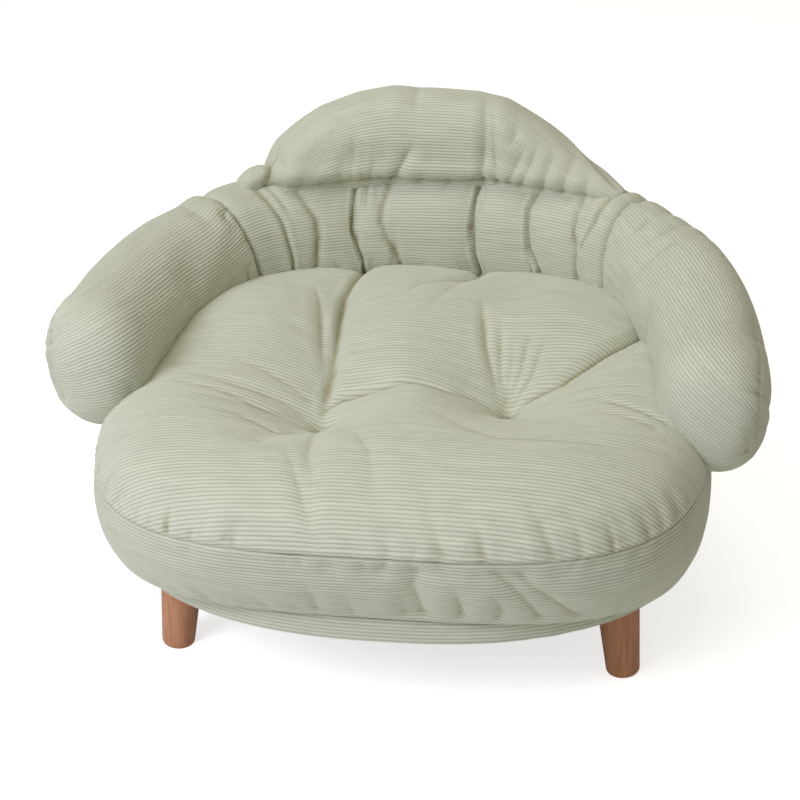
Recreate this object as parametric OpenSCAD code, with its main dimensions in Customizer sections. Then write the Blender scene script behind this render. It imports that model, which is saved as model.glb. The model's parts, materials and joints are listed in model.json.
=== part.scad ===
// Upholstered pet sofa: a round padded base on four splayed legs carries one lift-off soft bed,
// made of a tufted boxed seat cushion, a channelled back roll, two arm bolsters and a half-moon crown.
// X runs to the sitter's left and right, Y to the back, Z up. The floor is at zero.

/* [Seat cushion] */
// Half width of the seat at its top seam
seat_half_w = 302; // [270:1:330]
// Half depth of the seat at its top seam
seat_half_d = 293; // [265:1:320]
// How much narrower the lower seam is, each side
seat_draw_w = 6; // [0:1:20]
// How much shallower the lower seam is, front and back
seat_draw_d = 51; // [30:1:60]
// Height of the side panel between its two seams
gusset_h = 98; // [80:1:120]
// How far the side panel bulges between its seams
gusset_bulge = 8; // [0:1:14]
// Rise of the stuffed top above its seam
seat_crown_h = 54; // [42:1:62]
// Depth of the two sewn tufts
tuft_depth = 46; // [20:1:50]
// Radius of the dimple round a tuft
tuft_r = 44; // [30:1:60]
// Depth of the folds that run out from the tufts
fold_depth = 15; // [0:1:20]
// Half width of those folds
fold_w = 17; // [12:1:30]
// Thickness of the corduroy side and bottom panels
cloth_t = 3; // [2:0.5:4]

/* [Back, arms and crown] */
// Half thickness of the back roll
back_half_t = 50; // [40:1:56]
// Half thickness of an arm at its front end
arm_half_t = 54; // [44:1:60]
// Height of the back roll above the seat's top seam
back_rise = 152; // [120:1:180]
// Height of an arm's front end above the seat's top seam
arm_rise = 125; // [110:1:150]
// How far the arm's front end hangs below that seam
arm_drop = 11; // [0:1:20]
// How far an arm's middle line lies outside the seat's top seam
arm_out = 2; // [0:1:10]
// How far forward of the seat's middle the arms stand widest apart
arm_fore = 60; // [40:1:75]
// How far forward of the seat's middle an arm reaches
arm_reach = 106; // [60:1:140]
// Length over which an arm's front end is rounded off
arm_round = 62; // [40:1:80]
// How deep the back roll is drawn in at its sewn channels
channel_depth = 11; // [4:1:16]
// Half width of the crown where it meets the back roll
crown_half_w = 204; // [180:1:210]
// Height of the crown above the back roll
crown_h = 89; // [75:1:120]
// Half thickness of the crown
crown_half_t = 44; // [30:1:48]
// Thickness of cover and wadding round the inner fillings
wadding_t = 17; // [17:1:22]

/* [Base] */
// How much wider the base is than the cushion's lower seam, each side
base_out_w = 1; // [-20:1:5]
// How much deeper the base is than that seam, front and back
base_out_d = -1; // [-20:1:5]
// Thickness of the plywood board
board_t = 12; // [9:1:18]
// Thickness of the foam topper on the board
topper_t = 12; // [6:1:20]
// Thickness of the cloth wrapped round the base
wrap_t = 1.5; // [1:0.5:2]
// Width of the hem turned under the board
hem_w = 34; // [20:1:45]
// Radius of the base's padded upper edge
base_round = 8; // [4:1:10]

/* [Legs] */
// Height of the leg from the floor to its mounting plate
leg_h = 103; // [80:1:150]
// Diameter at the top of a leg
leg_top_d = 46; // [40:1:50]
// Diameter at the foot of a leg
leg_foot_d = 34; // [28:1:38]
// Radius of the foot's rounded edge
foot_round = 6; // [4:0.5:8]
// Distance of a leg's top in from the base's side
leg_inset_w = 78; // [74:1:110]
// Distance of a leg's top in from the base's front or back
leg_inset_d = 133; // [121:1:160]
// Outward lean of a leg to the side, in degrees
lean_side = 6; // [0:1:8]
// Outward lean of a leg to front or back, in degrees
lean_end = 4; // [0:1:8]
// Width of the square steel mounting plate
plate_w = 56; // [52:1:64]
// Thickness of the mounting plate
plate_t = 2; // [1.5:0.5:3]
// Radius of the bolt that joins leg and plate
bolt_r = 4; // [3:0.5:5]

/* [Zip] */
// Length of the zip in the rear side panel
zip_len = 150; // [110:1:156]
// Width of the zip tape
tape_w = 26; // [22:1:32]
// Thickness of the zip tape
tape_t = 1; // [0.8:0.1:1.4]
// Width of the row of teeth
teeth_w = 5; // [4:0.5:6]
// Height of the row of teeth over the tape
teeth_t = 1.4; // [1:0.1:1.8]
// Length of the slider
slider_l = 13; // [11:1:16]
// Width of the slider
slider_w = 9.6; // [9:0.2:12]
// Length of the pull tab
pull_l = 26; // [18:1:34]

/* [Hidden] */
$fn = 32;

cloth_color = [0.74, 0.76, 0.65];
filling_color = [0.93, 0.92, 0.88];
wood_color = [0.70, 0.46, 0.34];
board_color = [0.80, 0.68, 0.50];
steel_color = [0.62, 0.63, 0.65];
lining_color = [0.16, 0.16, 0.17];

// Gap between soft solids that only lie on each other
rest_gap = 0.3;
// Running clearance of the zip's small parts
slip = 0.3;
// How far a cutting shape overruns what it cuts
overrun = 1;

// Heights, from the floor up
hem_bottom = leg_h + plate_t - wrap_t;
board_bottom = leg_h + plate_t;
board_top = board_bottom + board_t;
topper_top = board_top + topper_t;
base_top = topper_top + wrap_t;
seat_low = base_top + rest_gap;
seam_z = seat_low + gusset_h;
roll_top = seam_z + back_rise;

// The bolsters stand on the seat's top seam, and the whole is centred front to back over the origin
roll_half_w = seat_half_w + arm_out;
roll_half_d = seat_half_d + rest_gap + arm_fore;
seat_y = -(rest_gap + back_half_t) / 2;

// The base follows the cushion's lower seam, and the legs follow the base
base_half_w = seat_half_w - seat_draw_w + base_out_w;
base_half_d = seat_half_d - seat_draw_d + base_out_d;
leg_x = base_half_w - leg_inset_w;
leg_y = base_half_d - leg_inset_d;

// Corner roundness of the plan outlines: 2 is an ellipse, and more is squarer
seat_square_share = 3.3;
seam_square_share = 3.4;
roll_square_share = 2.4;
base_square_share = 2.35;
section_square_share = 2.25;

// Sides of the round lofts
seat_sides = 56;
base_sides = 48;
section_sides = 16;
core_sides = 8;

function clamp01(u) = min(1, max(0, u));
function mix(a, b, u) = a * (1 - u) + b * u;
function ease(u) = let(v = clamp01(u)) v * v * (3 - 2 * v);

// Radius, in the direction of an angle, of a rounded rectangle of half width a and half depth b
function plan_r(a, b, square, angle) =
  pow(pow(abs(cos(angle)) / a, square) + pow(abs(sin(angle)) / b, square), -1 / square);
function plan_point(a, b, square, angle) =
  plan_r(a, b, square, angle) * [cos(angle), sin(angle)];
function plan_ring(a, b, square, z, sides) =
  [for (i = [0 : sides - 1]) let(p = plan_point(a, b, square, 360 * i / sides)) [p.x, p.y + seat_y, z]];
function plan_outline(a, b, square, sides) =
  [for (p = plan_ring(a, b, square, 0, sides)) [p.x, p.y]];

function ring_middle(ring) = [for (axis = [0 : 2]) [for (p = ring) p[axis]] * [for (p = ring) 1] / len(ring)];
// Triangles between two rings of points, over the end of a ring, and the same faces turned over
function strip(a, b, sides) = [for (i = [0 : sides - 1]) let(j = (i + 1) % sides)
  each [[a + i, b + i, b + j], [a + i, b + j, a + j]]];
function strips(start, rings) = let(sides = len(rings[0]))
  [for (k = [0 : len(rings) - 2]) each strip(start + k * sides, start + (k + 1) * sides, sides)];
function cap(a, mid, sides) = [for (i = [0 : sides - 1]) [a + i, a + (i + 1) % sides, mid]];
function turned_over(faces) = [for (face = faces) [face[2], face[1], face[0]]];

// Closed form over a stack of rings
module loft(rings) {
  sides = len(rings[0]);
  last = (len(rings) - 1) * sides;
  points = [for (ring = rings) each ring];
  mids = [ring_middle(rings[0]), ring_middle(rings[len(rings) - 1])];
  over = turned_over(cap(last, len(points) + 1, sides));
  polyhedron(concat(points, mids), convexity = 6,
    faces = concat(strips(0, rings), cap(0, len(points), sides), over));
}
// Cloth between an outer and an inner stack of rings, open below, and open or closed above
module shell(outer, inner, closed = false) {
  sides = len(outer[0]);
  start = len(outer) * sides;
  last = start - sides;
  points = concat([for (ring = outer) each ring], [for (ring = inner) each ring]);
  mids = [ring_middle(outer[len(outer) - 1]), ring_middle(inner[len(inner) - 1])];
  walls = concat(strips(0, outer), turned_over(strips(start, inner)), strip(start, 0, sides));
  over = closed
    ? concat(turned_over(cap(last, len(points), sides)), cap(start + last, len(points) + 1, sides))
    : strip(last, start + last, sides);
  polyhedron(closed ? concat(points, mids) : points, faces = concat(walls, over), convexity = 6);
}

// Seat cushion
// Places are shares of the seat's half width and half depth, from its middle
tuft_shares = [[-0.25, -0.27], [0.34, -0.08]];
fold_route_shares = [
  [[-0.25, -0.27], [-0.27, 0.02], [-0.30, 0.42], [-0.31, 0.93]],
  [[0.34, -0.08], [0.22, 0.42], [0.12, 0.94]],
  [[0.34, -0.08], [0.50, 0.12], [0.71, 0.48]],
  [[-0.25, -0.27], [0.04, -0.12], [0.34, -0.08]],
  [[-0.25, -0.27], [-0.55, -0.14], [-0.84, -0.10]]];
fold_depth_shares = [1, 0.7, 0.75, 0.8, 0.35];
// How steeply the stuffed top falls to its seam
crown_fall_share = 6;
// Radii of the top panel's rings, as shares of the way from the middle to the seam
top_ring_shares = [1, 0.985, 0.955, 0.9, 0.83, 0.74, 0.65, 0.55, 0.45, 0.34, 0.23, 0.11];
gusset_shares = [0, 0.12, 0.37, 0.63, 0.88, 1];

function seat_place(share) = [share.x * seat_half_w, share.y * seat_half_d];
function gap_to_run(p, a, b) = norm(p - a - (b - a) * clamp01((p - a) * (b - a) / ((b - a) * (b - a))));
function gap_to_route(p, route) =
  min([for (k = [0 : len(route) - 2]) gap_to_run(p, seat_place(route[k]), seat_place(route[k + 1]))]);
function bell(gap, reach) = exp(-pow(gap / reach, 2));
function tuft_dip(p) = max([for (share = tuft_shares) bell(norm(p - seat_place(share)), tuft_r)]);
function fold_dip(p) = max([for (k = [0 : len(fold_route_shares) - 1])
  fold_depth_shares[k] * bell(gap_to_route(p, fold_route_shares[k]), fold_w)]);
function crown_rise(s) = sqrt(1 - pow(s, crown_fall_share));
function seat_rise(p, s) = crown_rise(s) * (seat_crown_h - tuft_depth * tuft_dip(p)
  - fold_depth * fold_dip(p) * (1 - tuft_dip(p)));

function gusset_ring(share, inset) = let(bulge = gusset_bulge * sin(180 * share) - inset)
  plan_ring(mix(seat_half_w - seat_draw_w, seat_half_w, share) + bulge,
    mix(seat_half_d - seat_draw_d, seat_half_d, share) + bulge,
    mix(seam_square_share, seat_square_share, share), seat_low + share * gusset_h, seat_sides);
function top_ring(s, inset, lift) =
  [for (i = [0 : seat_sides - 1]) let(
    p = s * plan_point(seat_half_w - inset, seat_half_d - inset, seat_square_share, 360 * i / seat_sides))
    [p.x, p.y + seat_y, seam_z + seat_rise(p, s) + lift]];

// The whole cushion's outer form, grown by a gap where a neighbour is cut to lie on it
module seat_form(gap = 0) {
  loft(concat([for (share = gusset_shares) gusset_ring(share, -gap)],
    [for (s = top_ring_shares) if (s < 1) top_ring(s, -gap, gap)]));
}

// Foam slab inside the seat, and the cords that draw the tufts down to it
foam_inset = 26;
tie_r = 1.2;
tie_play = 0.1;
tie_sides = 24;
knot_r = 5;
knot_t = 2;
panel_top = seat_low + cloth_t;
foam_top = seam_z - tuft_depth / 2;
tie_top = seam_z + seat_crown_h - tuft_depth - knot_t;
wide = 2 * (seat_half_w + arm_half_t);
panel_shares = [for (share = gusset_shares) max(share, cloth_t / gusset_h)];

module below(z) {
  translate([-wide, -wide, z - wide]) cube([2 * wide, 2 * wide, wide]);
}
module above(z) {
  translate([-wide, -wide, z]) cube([2 * wide, 2 * wide, wide]);
}
module seat_slab(under = 0) {
  translate([0, 0, panel_top - under]) linear_extrude(foam_top - panel_top + under)
    polygon(plan_outline(seat_half_w - seat_draw_w - foam_inset, seat_half_d - seat_draw_d - foam_inset,
      seam_square_share, base_sides));
}
module tie_places() {
  for (share = tuft_shares) translate(concat(seat_place(share) + [0, seat_y], 0)) children();
}
module tie(play = 0) {
  translate([0, 0, panel_top - play]) {
    cylinder(h = tie_top - panel_top + play, r = tie_r + play, $fn = tie_sides);
    cylinder(h = knot_t + 2 * play, r = knot_r + play, $fn = tie_sides);
  }
}
module seat_top() {
  color(cloth_color) difference() {
    loft(concat([for (share = panel_shares) gusset_ring(share, cloth_t)],
      [for (s = top_ring_shares) top_ring(s, 0, 0)]));
    seat_slab(overrun);
    tie_places() tie(tie_play);
  }
}
module seat_gusset() {
  color(cloth_color) difference() {
    shell([for (share = panel_shares) gusset_ring(share, 0)],
      [for (share = panel_shares) gusset_ring(share, cloth_t)]);
    on_zip() translate([-zip_len / 2 - tape_end, 0, -tape_w / 2 - slip])
      cube([zip_len + 2 * tape_end, tape_w, tape_w + 2 * slip]);
  }
}
module seat_bottom() {
  color(cloth_color) translate([0, 0, seat_low]) linear_extrude(cloth_t)
    polygon(plan_outline(seat_half_w - seat_draw_w, seat_half_d - seat_draw_d, seam_square_share,
      seat_sides));
}
module seat_foam() {
  color(filling_color) difference() {
    seat_slab();
    tie_places() tie(tie_play);
  }
}
module tuft_ties() {
  color(filling_color) tie_places() tie();
}

// Bolsters: one C-shaped run round the seat's top seam, parted where each arm meets the back roll
// Direction in which an arm meets the back roll, seen from where the arms are widest
corner_deg = 54;
// How far round the arm the gathers at that joint reach
gather_deg = 20;
corner_dip = 15;
// Height lost at a channel, as a share of the thickness lost there
dip_height_share = 0.6;
arm_stop_shares = [0.01, 0.05, 0.14, 0.3, 0.55, 1];
arm_run_steps = 9;
// Places of the back roll's channels, as shares of the run's half width, and how deep each is drawn
channel_shares = [-0.52, -0.35, -0.25, 0.12, 0.32, 0.52];
channel_depth_shares = [0.7, 1, 0.7, 1, 0.8, 0.8];
puff_shares = [0, 0.08, 0.26, 0.5, 0.74, 0.92];
end_round_share = 2.4;
// Below one, an arm reaches its full size soon after the corner
forward_share = 0.6;
turn_step = 0.5;

function run_point(angle) =
  plan_point(roll_half_w, roll_half_d, roll_square_share, angle) + [0, seat_y - arm_fore];
function run_out(angle) = let(step = run_point(angle + turn_step) - run_point(angle - turn_step))
  [step.y, -step.x] / norm(step);
// Direction of the run's point at a distance forward or back of the seat's middle, on the right-hand side
function side_angle(y) = atan2(y + arm_fore, roll_half_w * pow(1 - pow(abs(y + arm_fore) / roll_half_d,
  roll_square_share), 1 / roll_square_share));
// Direction of the run's point at a distance to the right of the seat's middle, at the back
function back_angle(x) = atan2(roll_half_d * pow(1 - pow(abs(x) / roll_half_w, roll_square_share),
  1 / roll_square_share), x);
// Share of the way from the corner to an arm's front end
function forward(angle) = let(side = angle > 90 ? 180 - angle : angle)
  pow(ease((corner_deg - side) / (corner_deg - side_angle(-arm_reach))), forward_share);

// A station is a direction, how far its section is drawn in, and the share of its size that an end keeps
function round_keep(share) = pow(1 - pow(1 - share, end_round_share), 1 / end_round_share);
function arm_stations() = let(run_start = side_angle(-arm_reach + arm_round)) concat(
  [for (share = arm_stop_shares) [side_angle(-arm_reach + arm_round * share), 0, round_keep(share)]],
  [for (k = [1 : arm_run_steps]) let(angle = mix(run_start, corner_deg, k / arm_run_steps),
    near = clamp01((corner_deg - angle) / gather_deg))
    [angle, corner_dip * (1 - sqrt(sin(90 * near))), 1]]);
function mirrored(stations) =
  [for (k = [len(stations) - 1 : -1 : 0]) [180 - stations[k][0], stations[k][1], stations[k][2]]];
channel_angles = concat([180 - corner_deg], [for (share = channel_shares) back_angle(share * roll_half_w)],
  [corner_deg]);
channel_dips = concat([corner_dip], channel_depth * channel_depth_shares, [corner_dip]);
function back_stations() = concat(
  [for (k = [len(channel_angles) - 1 : -1 : 1]) for (share = puff_shares)
    [mix(channel_angles[k], channel_angles[k - 1], share),
      mix(channel_dips[k], channel_dips[k - 1], share) * (1 - sqrt(sin(180 * share))), 1]],
  [[180 - corner_deg, corner_dip, 1]]);

function roll_low(angle) = seam_z - arm_drop * forward(angle);
function roll_high(angle) = seam_z + mix(back_rise, arm_rise, forward(angle));
function roll_thick(angle) = mix(back_half_t, arm_half_t, forward(angle));
function section_ring(place, out, mid_z, half_t, half_h, sides) = [for (i = [0 : sides - 1])
  let(angle = 360 * i / sides,
    r = plan_r(half_t, half_h, section_square_share, angle),
    flat = place + out * r * cos(angle))
  [flat.x, flat.y, mid_z - r * sin(angle)]];
function roll_section(station, gap) = let(angle = station[0], dip = station[1], keep = station[2])
  section_ring(run_point(angle), run_out(angle), (roll_low(angle) + roll_high(angle)) / 2,
    (roll_thick(angle) - dip + gap) * keep,
    ((roll_high(angle) - roll_low(angle)) / 2 - dip * dip_height_share + gap) * keep, section_sides);
module roll_form(stations, gap = 0) {
  loft([for (station = stations) roll_section(station, gap)]);
}

// Inner fillings: smooth bolsters that stay above the seat's crown
filling_low = seam_z + seat_crown_h;
filling_end_share = 0.55;
// How far short of the joint a filling keeps its full size, and how far short its tip ends
filling_full_deg = 7;
filling_tip_deg = 3;
function filling_section(angle, keep) = section_ring(run_point(angle), run_out(angle),
  (filling_low + roll_high(angle) - wadding_t) / 2, (roll_thick(angle) - wadding_t) * keep,
  (roll_high(angle) - wadding_t - filling_low) / 2 * keep, core_sides);
arm_filling_front = side_angle(-arm_reach + arm_round / 2);
arm_filling_full = side_angle(-arm_reach + arm_round);
function arm_filling_rings() = concat([filling_section(arm_filling_front, filling_end_share)],
  [for (u = [0 : 0.25 : 1]) filling_section(mix(arm_filling_full, corner_deg - filling_full_deg, u), 1)],
  [filling_section(corner_deg - filling_tip_deg, filling_end_share)]);
function back_filling_rings() = let(full = corner_deg + filling_full_deg, tip = corner_deg + filling_tip_deg)
  concat([filling_section(tip, filling_end_share)],
    [for (u = [0 : 0.125 : 1]) filling_section(mix(full, 180 - full, u), 1)],
    [filling_section(180 - tip, filling_end_share)]);

// The left arm mirrors the right one, and both are cut to the seat's uneven top
module on_side(side) {
  if (side < 0) mirror([1, 0, 0]) children();
  else children();
}
module arm_filling(side) {
  color(filling_color) on_side(side) loft(arm_filling_rings());
}
module arm_cover(side) {
  color(cloth_color) difference() {
    on_side(side) roll_form(arm_stations());
    seat_form(rest_gap);
    on_side(side) loft(arm_filling_rings());
  }
}
module arm_left() {
  arm_cover(-1);
}
module arm_right() {
  arm_cover(1);
}
module arm_left_filling() {
  arm_filling(-1);
}
module arm_right_filling() {
  arm_filling(1);
}
module back_roll() {
  color(cloth_color) difference() {
    roll_form(back_stations());
    seat_form(rest_gap);
    loft(back_filling_rings());
  }
}
module back_filling() {
  color(filling_color) loft(back_filling_rings());
}

// Crown: a half-moon cushion that sits over the back roll
crown_top_share = 2.2;
crown_tail_share = 1.3;
crown_thin_share = 0.33;
crown_sink = 26;
crown_stop_shares = [-0.985, -0.95, -0.88, -0.79, -0.69, -0.58, -0.46, -0.34, -0.22, -0.11, 0,
  0.11, 0.22, 0.34, 0.46, 0.58, 0.69, 0.79, 0.88, 0.95, 0.985];
crown_filling_shares = [-0.8, -0.6, -0.3, 0, 0.3, 0.6, 0.8];
function crown_share(share) = pow(1 - pow(abs(share), crown_top_share), crown_tail_share);
function crown_section(share, low, inset, sides) = let(angle = back_angle(share * crown_half_w),
  high = roll_top + crown_h * crown_share(share) - inset,
  half_t = crown_half_t * pow(crown_share(share), crown_thin_share) - inset)
  section_ring(run_point(angle), run_out(angle), (high + low) / 2, half_t, (high - low) / 2, sides);
function crown_rings() = [for (k = [len(crown_stop_shares) - 1 : -1 : 0])
  crown_section(crown_stop_shares[k], roll_top - crown_sink, 0, section_sides)];
function crown_filling_rings() = [for (k = [len(crown_filling_shares) - 1 : -1 : 0])
  crown_section(crown_filling_shares[k], roll_top + rest_gap + cloth_t, wadding_t, core_sides)];

module crown() {
  color(cloth_color) difference() {
    loft(crown_rings());
    roll_form(back_stations(), rest_gap);
    loft(crown_filling_rings());
  }
}
module crown_filling() {
  color(filling_color) loft(crown_filling_rings());
}

// Base: the cloth is turned under the board, and both it and the lining are trimmed round the plates
hem_round = 3;
lining_t = 0.8;
hem_step = 45;
edge_step = 30;
function base_ring(inset, z) =
  plan_ring(base_half_w - inset, base_half_d - inset, base_square_share, z, base_sides);
function base_rings(inset) = concat(
  [for (a = [-90 : hem_step : 0]) base_ring(hem_round - (hem_round - inset) * cos(a),
    hem_bottom + hem_round + (hem_round - inset) * sin(a))],
  [for (a = [0 : edge_step : 90]) base_ring(base_round - (base_round - inset) * cos(a),
    base_top - base_round + (base_round - inset) * sin(a))]);
module base_plan(inset, bottom, thick) {
  translate([0, 0, bottom]) linear_extrude(thick)
    polygon(plan_outline(base_half_w - inset, base_half_d - inset, base_square_share, base_sides));
}

module plate_cuts() {
  at_legs() translate([0, 0, -overrun]) linear_extrude(plate_t + 2 * overrun)
    square(plate_w + 2 * slip, center = true);
}

// Mounting plates, screws and bolts
screw_r = 2;
screw_head_r = 4;
screw_l = 10;
screw_inset = 9;
screw_sides = 16;
barrel_r = 7;
barrel_skin = 2;
barrel_h = board_t - barrel_skin;
barrel_room = 2;
plate_corner = 6;
bolt_sunk = 34;
bolt_play = 0.05;
foot_sunk = 2;

module at_legs() {
  for (side = [-1, 1]) for (end = [-1, 1]) at_leg(side, end) children();
}
module at_leg(side, end) {
  translate([side * leg_x, seat_y + end * leg_y, leg_h]) children();
}
module leaning(side, end) {
  rotate([end * lean_end, -side * lean_side, 0]) children();
}
module at_screws() {
  for (x = [-1, 1]) for (y = [-1, 1])
    translate([x * (plate_w / 2 - screw_inset), y * (plate_w / 2 - screw_inset), 0]) children();
}
module screw(play = 0) {
  cylinder(h = screw_head_r - screw_r, r1 = screw_head_r + play, r2 = screw_r + play, $fn = screw_sides);
  cylinder(h = screw_l, r = screw_r + play, $fn = screw_sides);
}
module bolt_rod(r) {
  translate([0, 0, -bolt_sunk]) cylinder(h = bolt_sunk + plate_t + barrel_h, r = r);
}
module rounded_plate() {
  linear_extrude(plate_t) {
    square([plate_w, plate_w - 2 * plate_corner], center = true);
    square([plate_w - 2 * plate_corner, plate_w], center = true);
    for (x = [-1, 1]) for (y = [-1, 1])
      translate([x, y] * (plate_w / 2 - plate_corner)) circle(plate_corner);
  }
}
module leg_plate(side, end) {
  color(steel_color) at_leg(side, end) difference() {
    union() {
      rounded_plate();
      leaning(side, end) cylinder(h = plate_t + barrel_h - overrun, r = barrel_r);
    }
    translate([0, 0, -overrun * 2]) cylinder(h = overrun * 2, r = plate_w);
    leaning(side, end) translate([0, 0, -overrun * 2])
      cylinder(h = barrel_h + plate_t + overrun * 4, r = bolt_r);
    at_screws() screw(bolt_play);
  }
}
module plate_screws() {
  color(steel_color) at_legs() at_screws() screw();
}
module leg_bolts() {
  color(steel_color) for (side = [-1, 1]) for (end = [-1, 1])
    at_leg(side, end) leaning(side, end) bolt_rod(bolt_r - bolt_play);
}
module base_board() {
  color(board_color) difference() {
    base_plan(hem_round, board_bottom, board_t);
    at_legs() translate([0, 0, plate_t - overrun])
      cylinder(h = board_t + 2 * overrun, r = barrel_r + barrel_room);
    at_legs() at_screws() screw(bolt_play);
  }
}
module base_foam() {
  color(filling_color) intersection() {
    loft(base_rings(wrap_t));
    above(board_top);
  }
}
module base_wrap() {
  color(cloth_color) difference() {
    shell(concat([base_ring(hem_w, hem_bottom)], base_rings(0)),
      concat([base_ring(hem_w, board_bottom)], base_rings(wrap_t)), closed = true);
    plate_cuts();
  }
}
module dust_cloth() {
  color(lining_color) difference() {
    base_plan(hem_w + slip, board_bottom - lining_t, lining_t);
    plate_cuts();
  }
}

// Legs: turned and tapered, leaning outward, cut level under the plate and on the floor
leg_lean = acos(cos(lean_side) * cos(lean_end));
leg_l = leg_h / cos(leg_lean) + foot_sunk;
leg_over = leg_top_d * sin(leg_lean);
leg_swell = (leg_top_d - leg_foot_d) / 2 / leg_l;
foot_step = 15;
module leg_turning() {
  rotate_extrude() polygon(concat([[0, -leg_l], [leg_foot_d / 2 - foot_round, -leg_l]],
    [for (a = [foot_step - 90 : foot_step : 0])
      [leg_foot_d / 2 - foot_round * (1 - cos(a)), -leg_l + foot_round * (1 + sin(a))]],
    [[leg_top_d / 2 + leg_swell * leg_over, leg_over], [0, leg_over]]));
}
module leg(side, end) {
  color(wood_color) difference() {
    at_leg(side, end) leaning(side, end) difference() {
      leg_turning();
      bolt_rod(bolt_r);
    }
    below(0);
    above(leg_h);
  }
}
module plate_front_left() {
  leg_plate(-1, -1);
}
module plate_front_right() {
  leg_plate(1, -1);
}
module plate_back_left() {
  leg_plate(-1, 1);
}
module plate_back_right() {
  leg_plate(1, 1);
}
module leg_front_left() {
  leg(-1, -1);
}
module leg_front_right() {
  leg(1, -1);
}
module leg_back_left() {
  leg(-1, 1);
}
module leg_back_right() {
  leg(1, 1);
}

// Zip in the rear side panel, in its own frame: X along the teeth, Y outward, Z up the panel
tape_end = 6;
tooth_pitch = 2;
tooth_share = 0.55;
tooth_offset = 0.6;
slider_wall = 1.2;
slider_tail_share = 0.8;
bridge_r = 0.9;
bridge_inset = 2;
knuckle_wall = 1;
knuckle_play = 1;
pull_t = 1.6;
pull_w = 7;
pull_shoulder = 7;
pull_hole_r = 1.8;
zip_share = 0.5;
zip_slope = atan(seat_draw_d / gusset_h);
zip_plan_w = mix(seat_half_w - seat_draw_w, seat_half_w, zip_share) + gusset_bulge;
zip_plan_d = mix(seat_half_d - seat_draw_d, seat_half_d, zip_share)
  + gusset_bulge * sin(180 * gusset_shares[2]);
zip_plan_square_share = mix(seam_square_share, seat_square_share, zip_share);
zip_inset = zip_plan_d * (1 - pow(1 - pow((zip_len / 2 + tape_end) / zip_plan_w, zip_plan_square_share),
  1 / zip_plan_square_share));
slider_h = teeth_t + slip + slider_wall;
slider_x = -zip_len / 2 + tape_end + slider_l / 2;
knuckle_r = bridge_r + slip + knuckle_wall;
knuckle_w = slider_l - 2 * (bridge_inset + bridge_r + knuckle_play);
bridge_h = knuckle_r + slip;
bridge_y = tape_t + slip + slider_h + bridge_h;

module on_zip() {
  translate([0, seat_y + zip_plan_d, seat_low + zip_share * gusset_h]) rotate([-zip_slope, 0, 0])
    translate([0, -zip_inset, 0]) children();
}
module zip_tape() {
  color(cloth_color) on_zip() {
    translate([-zip_len / 2, 0, -tape_w / 2]) cube([zip_len, tape_t, tape_w]);
    for (k = [0 : floor((zip_len - 2 * tape_end) / tooth_pitch)]) let(side = k % 2 == 0 ? 1 : -1)
      translate([-zip_len / 2 + tape_end + k * tooth_pitch, 0, -teeth_w / 2 + (1 + side) * tooth_offset])
        cube([tooth_pitch * tooth_share, tape_t + teeth_t, teeth_w - 2 * tooth_offset]);
  }
}
module zip_slider() {
  color(steel_color) on_zip() translate([slider_x, tape_t + slip, 0]) {
    difference() {
      rotate([-90, 0, 0]) linear_extrude(slider_h) polygon([[-slider_l / 2, slider_w * slider_tail_share / 2],
        [0, slider_w / 2], [slider_l / 2, slider_w / 2], [slider_l / 2, -slider_w / 2], [0, -slider_w / 2],
        [-slider_l / 2, -slider_w * slider_tail_share / 2]]);
      translate([-slider_l, -overrun, -teeth_w / 2 - slip])
        cube([2 * slider_l, teeth_t + slip + overrun, teeth_w + 2 * slip]);
    }
    for (x = [-1, 1]) translate([x * (slider_l / 2 - bridge_inset), slider_h, 0])
      rotate([-90, 0, 0]) cylinder(h = bridge_h, r = bridge_r);
    translate([-slider_l / 2 + bridge_inset - bridge_r, slider_h + bridge_h, 0])
      rotate([0, 90, 0]) cylinder(h = slider_l - 2 * bridge_inset + 2 * bridge_r, r = bridge_r);
  }
}
// The pull hangs straight down, its knuckle round the slider's bridge
module zip_pull() {
  color(steel_color) on_zip() translate([slider_x, bridge_y, 0]) rotate([zip_slope, 0, 0]) difference() {
    union() {
      rotate([0, 90, 0]) cylinder(h = knuckle_w, r = knuckle_r, center = true);
      translate([0, pull_t / 2, 0]) rotate([90, 0, 0]) linear_extrude(pull_t) {
        polygon([[-knuckle_w / 2, 0], [-pull_w / 2, -pull_shoulder], [-pull_w / 2, pull_w / 2 - pull_l],
          [pull_w / 2, pull_w / 2 - pull_l], [pull_w / 2, -pull_shoulder], [knuckle_w / 2, 0]]);
        translate([0, pull_w / 2 - pull_l]) circle(pull_w / 2);
      }
    }
    rotate([0, 90, 0]) cylinder(h = 2 * knuckle_w, r = bridge_r + slip, center = true);
    translate([0, -pull_t, pull_w / 2 - pull_l]) rotate([-90, 0, 0])
      cylinder(h = 2 * pull_t, r = pull_hole_r);
  }
}

base_board();
base_foam();
base_wrap();
dust_cloth();
plate_front_left();
plate_front_right();
plate_back_left();
plate_back_right();
plate_screws();
leg_front_left();
leg_front_right();
leg_back_left();
leg_back_right();
leg_bolts();
seat_top();
seat_gusset();
seat_bottom();
seat_foam();
tuft_ties();
arm_left();
arm_right();
arm_left_filling();
arm_right_filling();
back_roll();
back_filling();
crown();
crown_filling();
zip_tape();
zip_slider();
zip_pull();
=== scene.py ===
import json
import math
import bpy
import numpy as np
from mathutils import Matrix, Vector


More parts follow.
